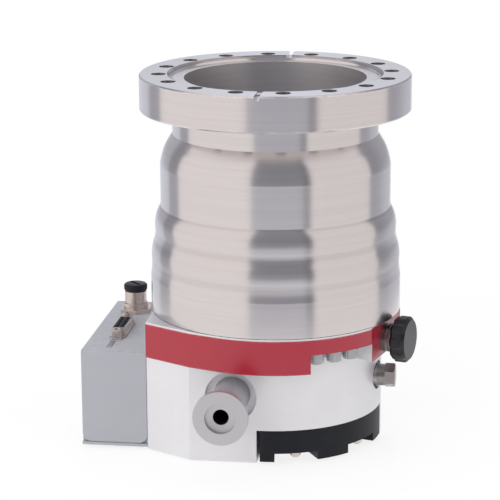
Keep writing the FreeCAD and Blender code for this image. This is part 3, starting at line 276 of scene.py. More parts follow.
print("materials")
finishes = {
    # The turned finishes darken their grooves and creases with painted shade.
    "housingSteel": turnedMetal("turned housing steel", {
        "axis": "Z", "around": 0.012, "lines": 2200.0, "colour": (0.70, 0.655, 0.645),
        "dark": (0.65, 0.605, 0.60), "worn": (0.92, 0.91, 0.90), "wear": 0.45, "stain": 0.12,
        "rough": 0.22, "roughSpread": 0.07, "metal": 1.0, "anisotropy": 0.75, "bump": 0.035,
        "edges": [("height", -0.75, 0.5), ("height", -19.3, 0.5), ("height", -134.0, 0.4)],
        "shadedCreases": [("height", -75.0, 1.0), ("height", -90.2, 2.6), ("height", -106.3, 2.6)],
        "creaseShadeDepth": 0.32, "creaseShadeTone": (0.50, 0.45, 0.425)}),
    "throatSteel": turnedMetal("honed throat steel", {
        "axis": "Z", "around": 0.012, "lines": 1900.0, "colour": (0.74, 0.715, 0.72),
        "dark": (0.66, 0.635, 0.64), "worn": (0.94, 0.93, 0.93), "wear": 0.3, "stain": 0.12,
        "rough": 0.32, "roughSpread": 0.10, "metal": 0.9, "anisotropy": 0.4, "bump": 0.04,
        "edges": [("height", -4.5, 0.3)], "shadedCreases": [("height", -30.0, 0.4)], "creaseShadeDepth": 0.3,
        "creaseShadeTone": (0.50, 0.45, 0.425)}),
    "flangeSteel": turnedMetal("faced flange steel", {
        "axis": "Z", "around": 0.012, "lines": 2200.0, "colour": (0.70, 0.67, 0.675),
        "dark": (0.64, 0.61, 0.615), "worn": (0.92, 0.91, 0.90), "wear": 0.4, "stain": 0.15,
        "rough": 0.26, "roughSpread": 0.08, "metal": 1.0, "anisotropy": 0.6, "grooveTurn": 0.0,
        "bump": 0.04, "edges": [("radius", 75.6, 0.3), ("radius", 51.4, 0.3)],
        "shadedCreases": [("radius", 60.2, 0.2)], "creaseShadeDepth": 0.3, "creaseShadeTone": (0.45, 0.42, 0.41)}),
    "portSteel": turnedMetal("turned port steel", {
        "axis": "Y", "around": 0.02, "lines": 1400.0, "colour": (0.57, 0.555, 0.565),
        "dark": (0.52, 0.505, 0.515), "worn": (0.78, 0.77, 0.77), "wear": 0.25, "stain": 0.04,
        "rough": 0.38, "roughSpread": 0.10, "metal": 0.75, "anisotropy": 0.1, "bump": 0.05,
        "edges": [("height", -92.5, 0.3)], "shadedCreases": [("height", -91.4, 0.3)], "creaseShadeDepth": 0.3,
        "creaseShadeTone": (0.30, 0.29, 0.30)}),
    "recessMetal": grainedSurface("machined recess metal", {
        "colour": (0.82, 0.81, 0.84), "dark": (0.76, 0.75, 0.78), "worn": (0.90, 0.90, 0.90),
        "grain": 2600.0, "mottle": 0.2, "wear": 0.2, "rough": 0.48, "roughSpread": 0.12,
        "metal": 0.6, "bump": 0.06, "edges": [("height", -134.3, 0.2)]}),
    # The neck's darker grey is painted shade behind the port's flange.
    "neckShadeMetal": grainedSurface("shaded neck metal", {
        "colour": (0.46, 0.455, 0.475), "dark": (0.41, 0.405, 0.425), "worn": (0.60, 0.60, 0.61),
        "grain": 2400.0, "mottle": 0.3, "wear": 0.2, "rough": 0.52, "roughSpread": 0.12,
        "metal": 0.4, "bump": 0.06, "edges": [("height", -157.0, 0.2)]}),
    # The bore's near-black colour is painted shade, where the open bore lies in shadow.
    "boreShade": grainedSurface("painted shade bore metal", {
        "colour": (0.012, 0.012, 0.013), "dark": (0.007, 0.007, 0.008), "worn": (0.03, 0.03, 0.03),
        "grain": 1800.0, "mottle": 0.5, "wear": 0.2, "rough": 0.6, "roughSpread": 0.14,
        "metal": 0.2, "bump": 0.08, "edges": [("height", -166.4, 0.2)]}),
    "bodyMetal": grainedSurface("blasted base metal", {
        "colour": (0.83, 0.82, 0.835), "dark": (0.77, 0.76, 0.775), "worn": (0.93, 0.92, 0.92),
        "grain": 2600.0, "streak": (0.25, 0.25, 12), "mottle": 0.55, "wear": 0.5, "rough": 0.40,
        "roughSpread": 0.12, "metal": 0.45, "bump": 0.10,
        "edges": [("height", -208.2, 0.6), ("height", -134.4, 0.3), ("height", -154.2, 0.4)]}),
    "bandFoil": grainedSurface("printed red foil", {
        "colour": (0.43, 0.009, 0.030), "dark": (0.395, 0.007, 0.024), "worn": (0.60, 0.16, 0.20),
        "grain": 1500.0, "mottle": 0.25, "wear": 0.4, "coat": 0.5, "rough": 0.30,
        "roughSpread": 0.06, "metal": 0.0, "bump": 0.03,
        "edges": [("height", -135.6, 0.35), ("height", -153.9, 0.35)]}),
    "blackPlastic": grainedSurface("moulded black plastic", {
        "colour": (0.007, 0.008, 0.012), "dark": (0.005, 0.006, 0.009),
        "worn": (0.05, 0.055, 0.065), "grain": 1900.0, "mottle": 0.5, "wear": 0.4, "ior": 1.34,
        "rough": 0.48, "roughSpread": 0.18, "metal": 0.0, "bump": 0.14}),
    "knobPlastic": grainedSurface("knob plastic", {
        "colour": (0.010, 0.011, 0.016), "dark": (0.007, 0.008, 0.012),
        "worn": (0.06, 0.065, 0.075), "grain": 2200.0, "mottle": 0.4, "wear": 0.3, "ior": 1.40,
        "rough": 0.30, "roughSpread": 0.12, "metal": 0.0, "bump": 0.08}),
    "capPlastic": grainedSurface("ribbed cap plastic", {
        "colour": (0.013, 0.014, 0.019), "dark": (0.009, 0.010, 0.014),
        "worn": (0.06, 0.065, 0.075), "grain": 2200.0, "mottle": 0.4, "wear": 0.2, "ior": 1.33,
        "rough": 0.38, "roughSpread": 0.12, "metal": 0.0, "bump": 0.10}),
    "boxPaint": grainedSurface("grey box paint", {
        "colour": (0.47, 0.477, 0.515), "dark": (0.44, 0.447, 0.485), "worn": (0.60, 0.60, 0.62),
        "grain": 1800.0, "streak": (1, 1, 1), "mottle": 0.3, "wear": 0.4, "rough": 0.46,
        "roughSpread": 0.14, "metal": 0.0, "bump": 0.16,
        "edges": [("height", -152.4, 0.5), ("height", -207.0, 0.5)]}),
    "nickel": grainedSurface("nickel plating", {
        "colour": (0.66, 0.57, 0.52), "dark": (0.56, 0.48, 0.44), "worn": (0.88, 0.83, 0.80),
        "grain": 2400.0, "mottle": 0.4, "wear": 0.6, "rough": 0.28, "roughSpread": 0.12,
        "metal": 1.0, "bump": 0.05}),
    # Also laid on the D shaped shell's lower right side as painted shade.
    "plugSteelAndShellShade": grainedSurface("plug steel and painted shell shade", {
        "colour": (0.30, 0.28, 0.275), "dark": (0.24, 0.22, 0.215), "worn": (0.62, 0.59, 0.58),
        "grain": 2400.0, "mottle": 0.4, "wear": 0.5, "rough": 0.30, "roughSpread": 0.12,
        "metal": 1.0, "bump": 0.05}),
    "screwSteel": grainedSurface("housing screw steel", {
        "colour": (0.42, 0.435, 0.445), "dark": (0.34, 0.35, 0.36), "worn": (0.70, 0.71, 0.71),
        "grain": 2600.0, "mottle": 0.4, "wear": 0.5, "rough": 0.36, "roughSpread": 0.14,
        "metal": 0.9, "bump": 0.06}),
    "fastenerSteel": grainedSurface("fastener steel", {
        "colour": (0.62, 0.62, 0.60), "dark": (0.50, 0.50, 0.49), "worn": (0.85, 0.85, 0.84),
        "grain": 2600.0, "mottle": 0.4, "wear": 0.6, "rough": 0.34, "roughSpread": 0.14,
        "metal": 0.95, "bump": 0.06}),
    "milledMetal": grainedSurface("milled rotor metal", {
        "colour": (0.66, 0.66, 0.68), "dark": (0.54, 0.54, 0.56), "worn": (0.86, 0.86, 0.87),
        "grain": 1700.0, "streak": (1, 1, 20), "mottle": 0.4, "wear": 0.3, "rough": 0.34,
        "roughSpread": 0.16, "metal": 1.0, "bump": 0.08}),
    "darkMetal": grainedSurface("dark magnet metal", {
        "colour": (0.20, 0.20, 0.21), "dark": (0.13, 0.13, 0.14), "worn": (0.45, 0.45, 0.46),
        "grain": 1500.0, "mottle": 0.5, "wear": 0.5, "rough": 0.45, "roughSpread": 0.16,
        "metal": 0.9, "bump": 0.10}),
    "rubber": grainedSurface("black rubber", {
        "colour": (0.018, 0.018, 0.018), "dark": (0.012, 0.012, 0.012), "worn": (0.06, 0.06, 0.06),
        "grain": 1600.0, "mottle": 0.5, "wear": 0.3, "rough": 0.70, "roughSpread": 0.16,
        "metal": 0.0, "bump": 0.20}),
    "felt": grainedSurface("lubricant felt", {
        "colour": (0.62, 0.55, 0.40), "dark": (0.45, 0.38, 0.26), "worn": (0.70, 0.64, 0.50),
        "grain": 2400.0, "mottle": 0.7, "wear": 0.2, "rough": 0.92, "roughSpread": 0.10,
        "metal": 0.0, "bump": 0.60}),
    "cageResin": grainedSurface("bearing cage resin", {
        "colour": (0.32, 0.17, 0.07), "dark": (0.22, 0.11, 0.04), "worn": (0.45, 0.28, 0.14),
        "grain": 2000.0, "streak": (8, 8, 1), "mottle": 0.6, "wear": 0.3, "rough": 0.50,
        "roughSpread": 0.14, "metal": 0.0, "bump": 0.12}),
    "copper": grainedSurface("winding copper", {
        "colour": (0.60, 0.24, 0.10), "dark": (0.40, 0.14, 0.05), "worn": (0.80, 0.42, 0.24),
        "grain": 1400.0, "streak": (1, 1, 30), "mottle": 0.6, "wear": 0.4, "rough": 0.34,
        "roughSpread": 0.14, "metal": 1.0, "bump": 0.25}),
    "boardResin": grainedSurface("circuit board resin", {
        "colour": (0.02, 0.13, 0.05), "dark": (0.01, 0.08, 0.03), "worn": (0.10, 0.25, 0.14),
        "grain": 1800.0, "mottle": 0.6, "wear": 0.2, "rough": 0.38, "roughSpread": 0.12,
        "metal": 0.0, "bump": 0.10}),
    "windowTint": grainedSurface("tinted window", {
        "colour": (0.20, 0.21, 0.23), "dark": (0.15, 0.16, 0.18), "worn": (0.34, 0.35, 0.37),
        "grain": 1200.0, "mottle": 0.3, "wear": 0.2, "rough": 0.26, "roughSpread": 0.08,
        "metal": 0.0, "bump": 0.04}),
}

finishOf = {
    "housingSteel": ["housing"],
    "portSteel": ["foreline_port"],
    "bodyMetal": ["base_body"],
    "bandFoil": ["label_band"],
    "blackPlastic": ["bottom_cover", "reservoir_cap", "connector_insert", "dsub_insert",
                     "holweck_sleeve"],
    "knobPlastic": ["vent_knob"],
    "capPlastic": ["connector_cap"],
    "boxPaint": ["electronics_case", "electronics_panel", "electronics_plate"],
    "plugSteelAndShellShade": ["purge_plug", "purge_washer", "vent_collar"],
    "nickel": ["connector_flange", "connector_barrel", "dsub_shell", "dsub_standoffs",
               "bottom_cover_screws"],
    "screwSteel": ["housing_screws"],
    "fastenerSteel": ["electronics_plate_screws", "vent_stem", "rotor_shaft",
                      "bearing_inner_ring", "bearing_outer_ring", "bearing_nut",
                      "safety_bearing"],
    "milledMetal": ["rotor", "stator_discs", "spacer_rings", "star_holder", "holweck_stator"],
    "darkMetal": ["motor_magnet", "magnet_bearing_rotor", "magnet_bearing_stator",
                  "motor_core", "bearing_balls"],
    "rubber": ["rubber_feet", "housing_seal", "reservoir_cap_seal", "bearing_damper",
               "vent_seal", "connector_cap_liner"],
    "felt": ["reservoir_felt"],
    "cageResin": ["bearing_cage"],
    "copper": ["motor_windings"],
    "boardResin": ["electronics_board"],
    "windowTint": ["status_window"],
}
materialOf = {node: finishes[finish] for finish, members in finishOf.items() for node in members}


def paint(item, material):
    item.data.materials.clear()
    item.data.materials.append(material)


for nodeName, item in nodes.items():
    paint(item, materialOf[nodeName])


# Meshes and pieces

def smoothMesh(mesh, angle):
    # Round surfaces shade smoothly, and edges sharper than the angle stay crisp.
    work = bmesh.new()
    work.from_mesh(mesh)
    for part in work.faces:
        part.smooth = True
    for edge in work.edges:
        bend = edge.calc_face_angle(0.0)
        edge.smooth = len(edge.link_faces) == 2 and bend < math.radians(angle)
    work.to_mesh(mesh)
    work.free()


def endMesh(work, name, angle):
    # Turns the work into a smoothly shaded mesh.
    mesh = bpy.data.meshes.new(name)
    work.to_mesh(mesh)
    work.free()
    smoothMesh(mesh, angle)
    return mesh


def addPiece(name, mesh, nodeName, replaces=True):
    # A piece on its node's body, in its finish. It stands for the node or adds to it.
    piece = bpy.data.objects.new(name, mesh)
    scene.collection.objects.link(piece)
    paint(piece, materialOf[nodeName])
    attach(piece, bodyOf[nodeName])
    if replaces:
        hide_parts(nodeName)
    return piece


def weldedCopy(nodeName):
    work = bmesh.new()
    work.from_mesh(nodes[nodeName].data)
    bmesh.ops.remove_doubles(work, verts=work.verts, dist=tiny)
    return work


# How sharp edges are rounded, and the bend under which faces count as one flat, in degrees
rounding = {"segments": 2, "edgeAngle": 28.0, "flatAngle": 0.4}


def cleanCopy(nodeName, angle=25.0, bevel=0.0):
    # A welded copy of a node, shaded smoothly, with its sharp edges rounded by the bevel.
    work = weldedCopy(nodeName)
    if bevel:
        bmesh.ops.dissolve_limit(work, angle_limit=math.radians(rounding["flatAngle"]),
                                 verts=work.verts, edges=work.edges)
    pieceName = nodeName + "_shape"
    piece = addPiece(pieceName, endMesh(work, pieceName, angle), nodeName)
    if bevel:
        modifier = piece.modifiers.new("edge rounding", "BEVEL")
        modifier.width = bevel * mm
        modifier.segments = rounding["segments"]
        modifier.limit_method = "ANGLE"
        modifier.angle_limit = math.radians(rounding["edgeAngle"])
        modifier.harden_normals = False


print("smooth copies")
copies = {
    "base_body": {"angle": 20.0},
    "label_band": {"angle": 20.0},
    "foreline_port": {},
    "vent_collar": {},
    "purge_plug": {"bevel": 0.2},
    "purge_washer": {},
    "bottom_cover": {"bevel": 0.3},
    "bottom_cover_screws": {},
    "electronics_case": {"bevel": 0.5},
    "electronics_panel": {"bevel": 0.25},
    "connector_flange": {"bevel": 0.2},
    "connector_barrel": {"bevel": 0.2},
    "dsub_shell": {"bevel": 0.12},
    "rotor": {},
    "star_holder": {"bevel": 0.2},
    "stator_discs": {},
    "spacer_rings": {},
}
for nodeName, settings in copies.items():
    cleanCopy(nodeName, **settings)


# Turned housing

def smoothProfile(points, steps):
    # A smooth line through the points, as pairs of radius and height in millimetres.
    ends = [points[0]] + list(points) + [points[-1]]
    line = []
    for before, start, finish, after in zip(ends, ends[1:], ends[2:], ends[3:]):
        for step in range(steps):
            share = step / steps
            line.append(tuple(
                0.5 * (2 * b + (c - a) * share + (2 * a - 5 * b + 4 * c - d) * share ** 2
                       + (3 * b - a - 3 * c + d) * share ** 3)
                for a, b, c, d in zip(before, start, finish, after)))
    line.append(points[-1])
    return line


def addLathe(work, profile, sides):
    # Turns the profile round the vertical axis, outside on the right when it runs downwards.
    rings = []
    for radius, height in profile:
        ring = []
        for side in range(sides):
            turned = 2 * math.pi * side / sides
            ring.append(work.verts.new((
                radius * mm * math.sin(turned), -radius * mm * math.cos(turned), height * mm)))
        rings.append(ring)
    for upper, lower in zip(rings, rings[1:]):
        for side in range(sides):
            after = (side + 1) % sides
            work.faces.new((lower[side], lower[after], upper[after], upper[side]))


print("housing")
wall = {
    "sides": 192, "steps": 4, "angle": 14.0,
    "neck": [(57.75, -19.9), (57.75, -33.3)],
    "dome": [(57.75, -33.4), (59.45, -36.0), (61.75, -40.0), (63.33, -44.0), (64.40, -48.0),
             (64.86, -50.6)],
    "upper": [(64.86, -50.7), (64.82, -74.2)],
    "rolls": [(64.82, -74.3), (66.35, -77.0), (67.50, -80.0), (68.12, -83.5), (68.14, -87.0),
              (68.00, -90.0), (68.40, -93.0), (69.50, -96.5), (70.12, -100.0),
              (70.26, -103.0), (70.10, -106.5), (70.20, -110.0), (70.74, -114.0)],
    "skirt": [(70.75, -114.1), (70.75, -133.9), (70.5, -134.2)],
}
# The part of the CAD's own wall that the turned one takes the place of
oldWall = {"top": -19.9, "reach": 57.5, "skirtTop": -120.0, "skirtReach": 70.0, "flat": 0.01}


def isOuterWall(part):
    # The faces of the housing's outside between the flange and the joint.
    low = min(corner.co.z for corner in part.verts)
    high = max(corner.co.z for corner in part.verts)
    reach = min(math.hypot(corner.co.x, corner.co.y) for corner in part.verts)
    onSkirt = low < oldWall["skirtTop"] * mm
    outside = reach > (oldWall["skirtReach"] if onSkirt else oldWall["reach"]) * mm
    return outside and high < oldWall["top"] * mm and high - low > oldWall["flat"] * mm


work = weldedCopy("housing")
outside = [part for part in work.faces if isOuterWall(part)]
bmesh.ops.delete(work, geom=outside, context="FACES")
profile = wall["neck"] + smoothProfile(wall["dome"], wall["steps"]) + wall["upper"]
profile += smoothProfile(wall["rolls"], wall["steps"]) + wall["skirt"]
addLathe(work, profile, wall["sides"])
addPiece("housing_shape", endMesh(work, "housing_shape", wall["angle"]), "housing")


# Shapes lofted through rings of points, and patterns of copies

def loftMesh(name, rings, sides, angle=30.0):
    # Joins rings from the bottom up: each is an outline, as a radius or its rule, and a height
    # in millimetres.
    work = bmesh.new()
    loops = []
    for outline, height in rings:
        if outline == 0:
            loops.append([work.verts.new((0.0, 0.0, height * mm))])
            continue
        loop = []
        for side in range(sides):
            turned = 2 * math.pi * side / sides
            reach = (outline(turned) if callable(outline) else outline) * mm
            loop.append(work.verts.new((
                reach * math.cos(turned), reach * math.sin(turned), height * mm)))
        loops.append(loop)
    for lower, upper in zip(loops, loops[1:]):
        for side in range(sides):
            after = (side + 1) % sides
            corners = [lower[side % len(lower)], lower[after % len(lower)],
                       upper[after % len(upper)], upper[side % len(upper)]]
            work.faces.new(list(dict.fromkeys(corners)))
    return endMesh(work, name, angle)


def polygonOutline(across, corners):
    # Radius of a regular polygon, given its size across flats, at each angle.
    sector = 2 * math.pi / corners
    return lambda angle: across / 2 / math.cos(angle % sector - sector / 2)


def ribbedOutline(radius, depth, count):
    # A circle with fine teeth, each a smooth wave.
    return lambda angle: radius - depth * (0.5 - 0.5 * math.cos(count * angle))


def vectorMaths(tree, operation, inputs):
    return addNode(tree, "ShaderNodeVectorMath", inputs, operation=operation)["Vector"]


def patternTree():
    # Copies of the modifier's own mesh, in groups on an arc and along straight rows.
    tree = bpy.data.node_groups.new("pattern of copies", "GeometryNodeTree")
    wanted = {
        "Geometry": "Geometry", "Count": "Int", "Group Size": "Int", "Radius": "Float",
        "Start": "Float", "Step": "Float", "Group Step": "Float", "Row Step": "Vector",
        "Group Shift": "Vector", "Turn Spread": "Float", "Seed": "Int", "Finish": "Material",
    }
    names = {}
    for label, kind in wanted.items():
        socket = tree.interface.new_socket(
            label, in_out="INPUT", socket_type="NodeSocket" + kind)
        names[label] = socket.identifier
    tree.interface.new_socket("Geometry", in_out="OUTPUT", socket_type="NodeSocketGeometry")
    given = addNode(tree, "NodeGroupInput")
    index = addNode(tree, "GeometryNodeInputIndex")["Index"]
    group = maths(tree, "FLOOR", index / given["Group Size"])
    member = index - group * given["Group Size"]
    bearing = given["Start"] + member * given["Step"] + group * given["Group Step"]
    onArc = addNode(tree, "ShaderNodeCombineXYZ", {
        "X": maths(tree, "SINE", bearing) * given["Radius"],
        "Y": 0.0 - maths(tree, "COSINE", bearing) * given["Radius"]})["Vector"]
    alongRow = vectorMaths(tree, "SCALE", {"Vector": given["Row Step"], "Scale": member})
    shifted = vectorMaths(tree, "SCALE", {"Vector": given["Group Shift"], "Scale": group})
    place = vectorMaths(tree, "ADD", {0: onArc, 1: alongRow})
    place = vectorMaths(tree, "ADD", {0: place, 1: shifted})
    points = addNode(tree, "GeometryNodePoints", {"Count": given["Count"], "Position": place})
    chance = addNode(tree, "FunctionNodeRandomValue", {
        2: 0.0 - given["Turn Spread"], 3: given["Turn Spread"], "Seed": given["Seed"],
    }, data_type="FLOAT")["Value"]
    facing = addNode(tree, "ShaderNodeCombineXYZ", {"Z": bearing + chance})["Vector"]
    placed = addNode(tree, "GeometryNodeInstanceOnPoints", {
        "Points": next(iter(points.values())), "Instance": given["Geometry"],
        "Rotation": facing})["Instances"]
    solid = addNode(tree, "GeometryNodeRealizeInstances", {"Geometry": placed})["Geometry"]
    painted = addNode(tree, "GeometryNodeSetMaterial", {
        "Geometry": solid, "Material": given["Finish"]})["Geometry"]
    addNode(tree, "NodeGroupOutput", {"Geometry": painted})
    return tree, names


patternGroup, patternSockets = patternTree()


def patternMesh(name, mesh, nodeName, sizes):
    # Runs the pattern on one mesh and gives the result as a plain mesh.
    source = bpy.data.objects.new(name + "_source", mesh)
    scene.collection.objects.link(source)
    copier = source.modifiers.new("pattern", "NODES")
    copier.node_group = patternGroup
    for label, value in {**sizes, "Finish": materialOf[nodeName]}.items():
        copier[patternSockets[label]] = value
    shaped = source.evaluated_get(bpy.context.evaluated_depsgraph_get())
    result = bpy.data.meshes.new_from_object(shaped)
    result.name = name
    bpy.data.objects.remove(source)
    return result


def moveMesh(mesh, sizes):
    mesh.transform(Matrix.Translation((sizes["x"] * mm, sizes["y"] * mm, 0.0)))


print("screws")
screw = {
    "sides": 96, "teeth": 24, "toothDepth": 0.16, "headRadius": 4.1, "headLow": -149.9,
    "headHigh": -144.9, "washerRadius": 4.4, "washerHigh": -143.7, "shankRadius": 2.5,
    "shankHigh": -125.2, "socket": 4.0, "socketDepth": 2.5, "chamfer": 0.45, "edge": 0.1,
    "circle": 65.4, "first": 27.3, "step": 9.4, "nextPocket": 106.6, "count": 6,
    "inPocket": 3, "turnSpread": 0.5, "seed": 4,
}
screwHead = ribbedOutline(screw["headRadius"], screw["toothDepth"], screw["teeth"])
screwHex = polygonOutline(screw["socket"], 6)
screwFloor = screw["headLow"] + screw["socketDepth"]
screwRings = [
    (0, screwFloor), (screwHex, screwFloor), (screwHex, screw["headLow"]),
    (screw["headRadius"] - screw["chamfer"], screw["headLow"]),
    (screwHead, screw["headLow"] + screw["chamfer"]),
    (screwHead, screw["headHigh"] - screw["edge"]),
    (screw["headRadius"] - 2 * screw["edge"], screw["headHigh"]),
    (screw["washerRadius"] - screw["edge"], screw["headHigh"]),
    (screw["washerRadius"], screw["headHigh"] + screw["edge"]),
    (screw["washerRadius"], screw["washerHigh"]), (screw["shankRadius"], screw["washerHigh"]),
    (screw["shankRadius"], screw["shankHigh"]), (0, screw["shankHigh"]),
]
screwMesh = loftMesh("housing_screw", screwRings, screw["sides"])
screwsMesh = patternMesh("housing_screws_shape", screwMesh, "housing_screws", {
    "Count": screw["count"], "Group Size": screw["inPocket"], "Radius": screw["circle"] * mm,
    "Start": math.radians(screw["first"]), "Step": math.radians(screw["step"]),
    "Group Step": math.radians(screw["nextPocket"]), "Turn Spread": screw["turnSpread"],
    "Seed": screw["seed"]})
addPiece("housing_screws_shape", screwsMesh, "housing_screws")


print("knob")
knob = {
    "sides": 216, "angle": 24.0, "radius": 13.0, "flutes": 9, "fluteDepth": 1.0,
    "fluteRadius": 4.5, "firstFlute": 198.0, "low": 6.0, "high": 14.8, "chamfer": 1.6,
    "rounding": 0.35, "shoulderInset": 0.12, "shoulderRise": 0.05, "faceDrop": 0.18,
    "bearing": 75.0, "face": 66.7, "height": -145.9,
}


def knobOutline(inset):
    # The fluted outline, drawn in by the inset.
    far = knob["radius"] - knob["fluteDepth"] + knob["fluteRadius"]
    sector = 2 * math.pi / knob["flutes"]
    reach = knob["fluteRadius"] + inset

    def radiusAt(angle):
        aside = (angle - math.radians(knob["firstFlute"]) + sector / 2) % sector - sector / 2
        room = reach ** 2 - (far * math.sin(aside)) ** 2
        cut = far * math.cos(aside) - math.sqrt(room) if room > 0 else knob["radius"]
        return min(knob["radius"] - inset, cut)
    return radiusAt


knobFace = knob["radius"] - knob["chamfer"]
knobRings = [
    (0, knob["low"]), (knobOutline(knob["chamfer"]), knob["low"]),
    (knobOutline(0.0), knob["low"] + knob["chamfer"]),
    (knobOutline(0.0), knob["high"] - knob["chamfer"] - knob["rounding"]),
    (knobOutline(knob["shoulderInset"]), knob["high"] - knob["chamfer"] + knob["shoulderRise"]),
    (knobFace, knob["high"] - knob["faceDrop"]), (knobFace - knob["rounding"], knob["high"]),
    (0, knob["high"]),
]
knobMesh = loftMesh("vent_knob_shape", knobRings, knob["sides"], knob["angle"])
knobTurn = math.radians(knob["bearing"])
upright = Vector((0.0, 0.0, 1.0))
outward = Vector((math.sin(knobTurn), -math.cos(knobTurn), 0.0))
tangent = Vector((math.cos(knobTurn), math.sin(knobTurn), 0.0))
knobFrame = Matrix((tangent, upright, outward)).transposed().to_4x4()
knobPlace = outward * knob["face"] * mm + upright * (knob["height"] * mm)
knobMesh.transform(Matrix.Translation(knobPlace) @ knobFrame)
addPiece("vent_knob_shape", knobMesh, "vent_knob")


print("connectors")
cap = {
    "sides": 216, "angle": 24.0, "ribs": 36, "ribDepth": 0.2, "radius": 6.9, "low": -138.8,
    "high": -135.2, "chamfer": 0.7, "footInset": 0.4, "footRise": 0.3, "edge": 0.1,
    "shoulderInset": 0.25, "topDrop": 0.12, "topInset": 0.3, "plugRadius": 4.8,
    "plugLow": -142.6, "slotLength": 9.4, "slotWidth": 2.0, "slotDepth": 1.3,
    "slotTurn": -45.0, "x": -89.4, "y": 39.5,
}


def slotOutline(angle):
    # Radius of a long straight slot at each angle.
    turned = angle - math.radians(cap["slotTurn"])
    along, across = abs(math.cos(turned)), abs(math.sin(turned))
    return min(cap["slotLength"] / 2 / max(along, tiny), cap["slotWidth"] / 2 / max(across, tiny))


capRibbed = ribbedOutline(cap["radius"], cap["ribDepth"], cap["ribs"])
capShoulder = cap["high"] - cap["chamfer"]
capFace = cap["radius"] - cap["chamfer"]
capRings = [
    (0, cap["plugLow"]), (cap["plugRadius"], cap["plugLow"]), (cap["plugRadius"], cap["low"]),
    (cap["radius"] - cap["footInset"], cap["low"]), (capRibbed, cap["low"] + cap["footRise"]),
    (capRibbed, capShoulder - cap["edge"]),
    (cap["radius"] - cap["shoulderInset"], capShoulder + cap["edge"]),
    (capFace, cap["high"] - cap["topDrop"]), (capFace - cap["topInset"], cap["high"]),
    (slotOutline, cap["high"]), (slotOutline, cap["high"] - cap["slotDepth"]),
    (0, cap["high"] - cap["slotDepth"]),
]
capMesh = loftMesh("connector_cap_shape", capRings, cap["sides"], cap["angle"])
moveMesh(capMesh, cap)
addPiece("connector_cap_shape", capMesh, "connector_cap")

contact = {
    "sides": 14, "count": 15, "inRow": 8, "radius": 0.85, "taper": 0.08, "bore": 0.5,
    "edge": 0.1, "low": -147.0, "high": -146.75, "pitch": 2.77, "row": 2.84, "x": -87.6,
    "y": -12.99,
}
contactRings = [
    (contact["radius"], contact["low"]), (contact["radius"] - contact["taper"], contact["high"]),
    (contact["bore"] + contact["edge"], contact["high"]),
    (contact["bore"], contact["high"] - contact["edge"]), (contact["bore"], contact["low"]),
]
contactMesh = loftMesh("dsub_contact", contactRings, contact["sides"])
contactsMesh = patternMesh("dsub_contacts", contactMesh, "dsub_insert", {
    "Count": contact["count"], "Group Size": contact["inRow"],
    "Row Step": (0.0, contact["pitch"] * mm, 0.0),
    "Group Shift": (-contact["row"] * mm, contact["pitch"] / 2 * mm, 0.0)})
moveMesh(contactsMesh, contact)
addPiece("dsub_contacts", contactsMesh, "dsub_insert", replaces=False)

post = {
    "sides": 48, "count": 2, "spread": 33.3, "across": 5.0, "low": -151.2, "high": -146.2,
    "chamfer": 0.25, "edge": 0.1, "bore": 1.5, "boreEdge": 0.2, "depth": 3.0, "x": -89.0,
    "y": -19.95,
}
postHex = polygonOutline(post["across"], 6)
postRings = [
    (0, post["low"]), (postHex, post["low"]), (postHex, post["high"] - post["chamfer"]),
    (post["across"] / 2 - post["edge"], post["high"]),
    (post["bore"] + post["boreEdge"], post["high"]),
    (post["bore"], post["high"] - post["chamfer"]), (post["bore"], post["high"] - post["depth"]),
    (0, post["high"] - post["depth"]),
]
postMesh = loftMesh("dsub_standoff", postRings, post["sides"])
postsMesh = patternMesh("dsub_standoffs_shape", postMesh, "dsub_standoffs", {
    "Count": post["count"], "Group Size": post["count"],
    "Row Step": (0.0, post["spread"] * mm, 0.0)})
moveMesh(postsMesh, post)
addPiece("dsub_standoffs_shape", postsMesh, "dsub_standoffs")


# Second finishes: the inlet's throat and faced flange, painted shade on the port's bore
# and neck, the pocket round the neck with the base's top ring, and painted shade on the
# shaded side of the D shaped shell

def secondFinish(pieceName, material, chosen):
    # Gives the faces that the rule picks a second finish.
    mesh = bpy.data.objects[pieceName].data
    mesh.materials.append(material)
    for part in mesh.polygons:
        if chosen(part.center / mm, part.normal):
            part.material_index = len(mesh.materials) - 1


# Limits in millimetres, and how much of a normal makes a face a wall or a flat one
inlet = {"throatReach": 52.5, "faceLow": -3.0}
port = {
    "x": -17.1, "z": -170.8, "boreRadius": 4.5, "boreEnd": -95.3, "neckEnd": -90.0,
    "pocketRadius": 14.6, "pocketBack": -54.0,
}
base = {"ringLow": -134.5}
shell = {"shadeHigh": -149.6}
facing = {"wall": 0.3, "flat": 0.9}


def portReach(point):
    # Distance from the middle line of the foreline port.
    return math.hypot(point.x - port["x"], point.z - port["z"])


def inThroat(point, normal):
    reach = math.hypot(point.x, point.y)
    return reach < inlet["throatReach"] and abs(normal.z) < facing["wall"]


def onFlangeFace(point, normal):
    return point.z > inlet["faceLow"] and abs(normal.z) > facing["flat"]


def inBore(point, normal):
    return portReach(point) < port["boreRadius"] and point.y > port["boreEnd"]


def onNeck(point, normal):
    return port["boreRadius"] < portReach(point) and point.y > port["neckEnd"]


def inPocketOrOnRing(point, normal):
    inPocket = portReach(point) < port["pocketRadius"] and point.y < port["pocketBack"]
    return inPocket or point.z > base["ringLow"] and normal.z > facing["flat"]


def onShadedSide(point, normal):
    return point.z < shell["shadeHigh"] and normal.x > facing["wall"]


secondFinish("housing_shape", finishes["throatSteel"], inThroat)
secondFinish("housing_shape", finishes["flangeSteel"], onFlangeFace)
# Painted shade: the port's bore gets a near-black colour.
secondFinish("foreline_port_shape", finishes["boreShade"], inBore)
# Painted shade: the port's neck gets a darker grey.
secondFinish("foreline_port_shape", finishes["neckShadeMetal"], onNeck)
secondFinish("base_body_shape", finishes["recessMetal"], inPocketOrOnRing)
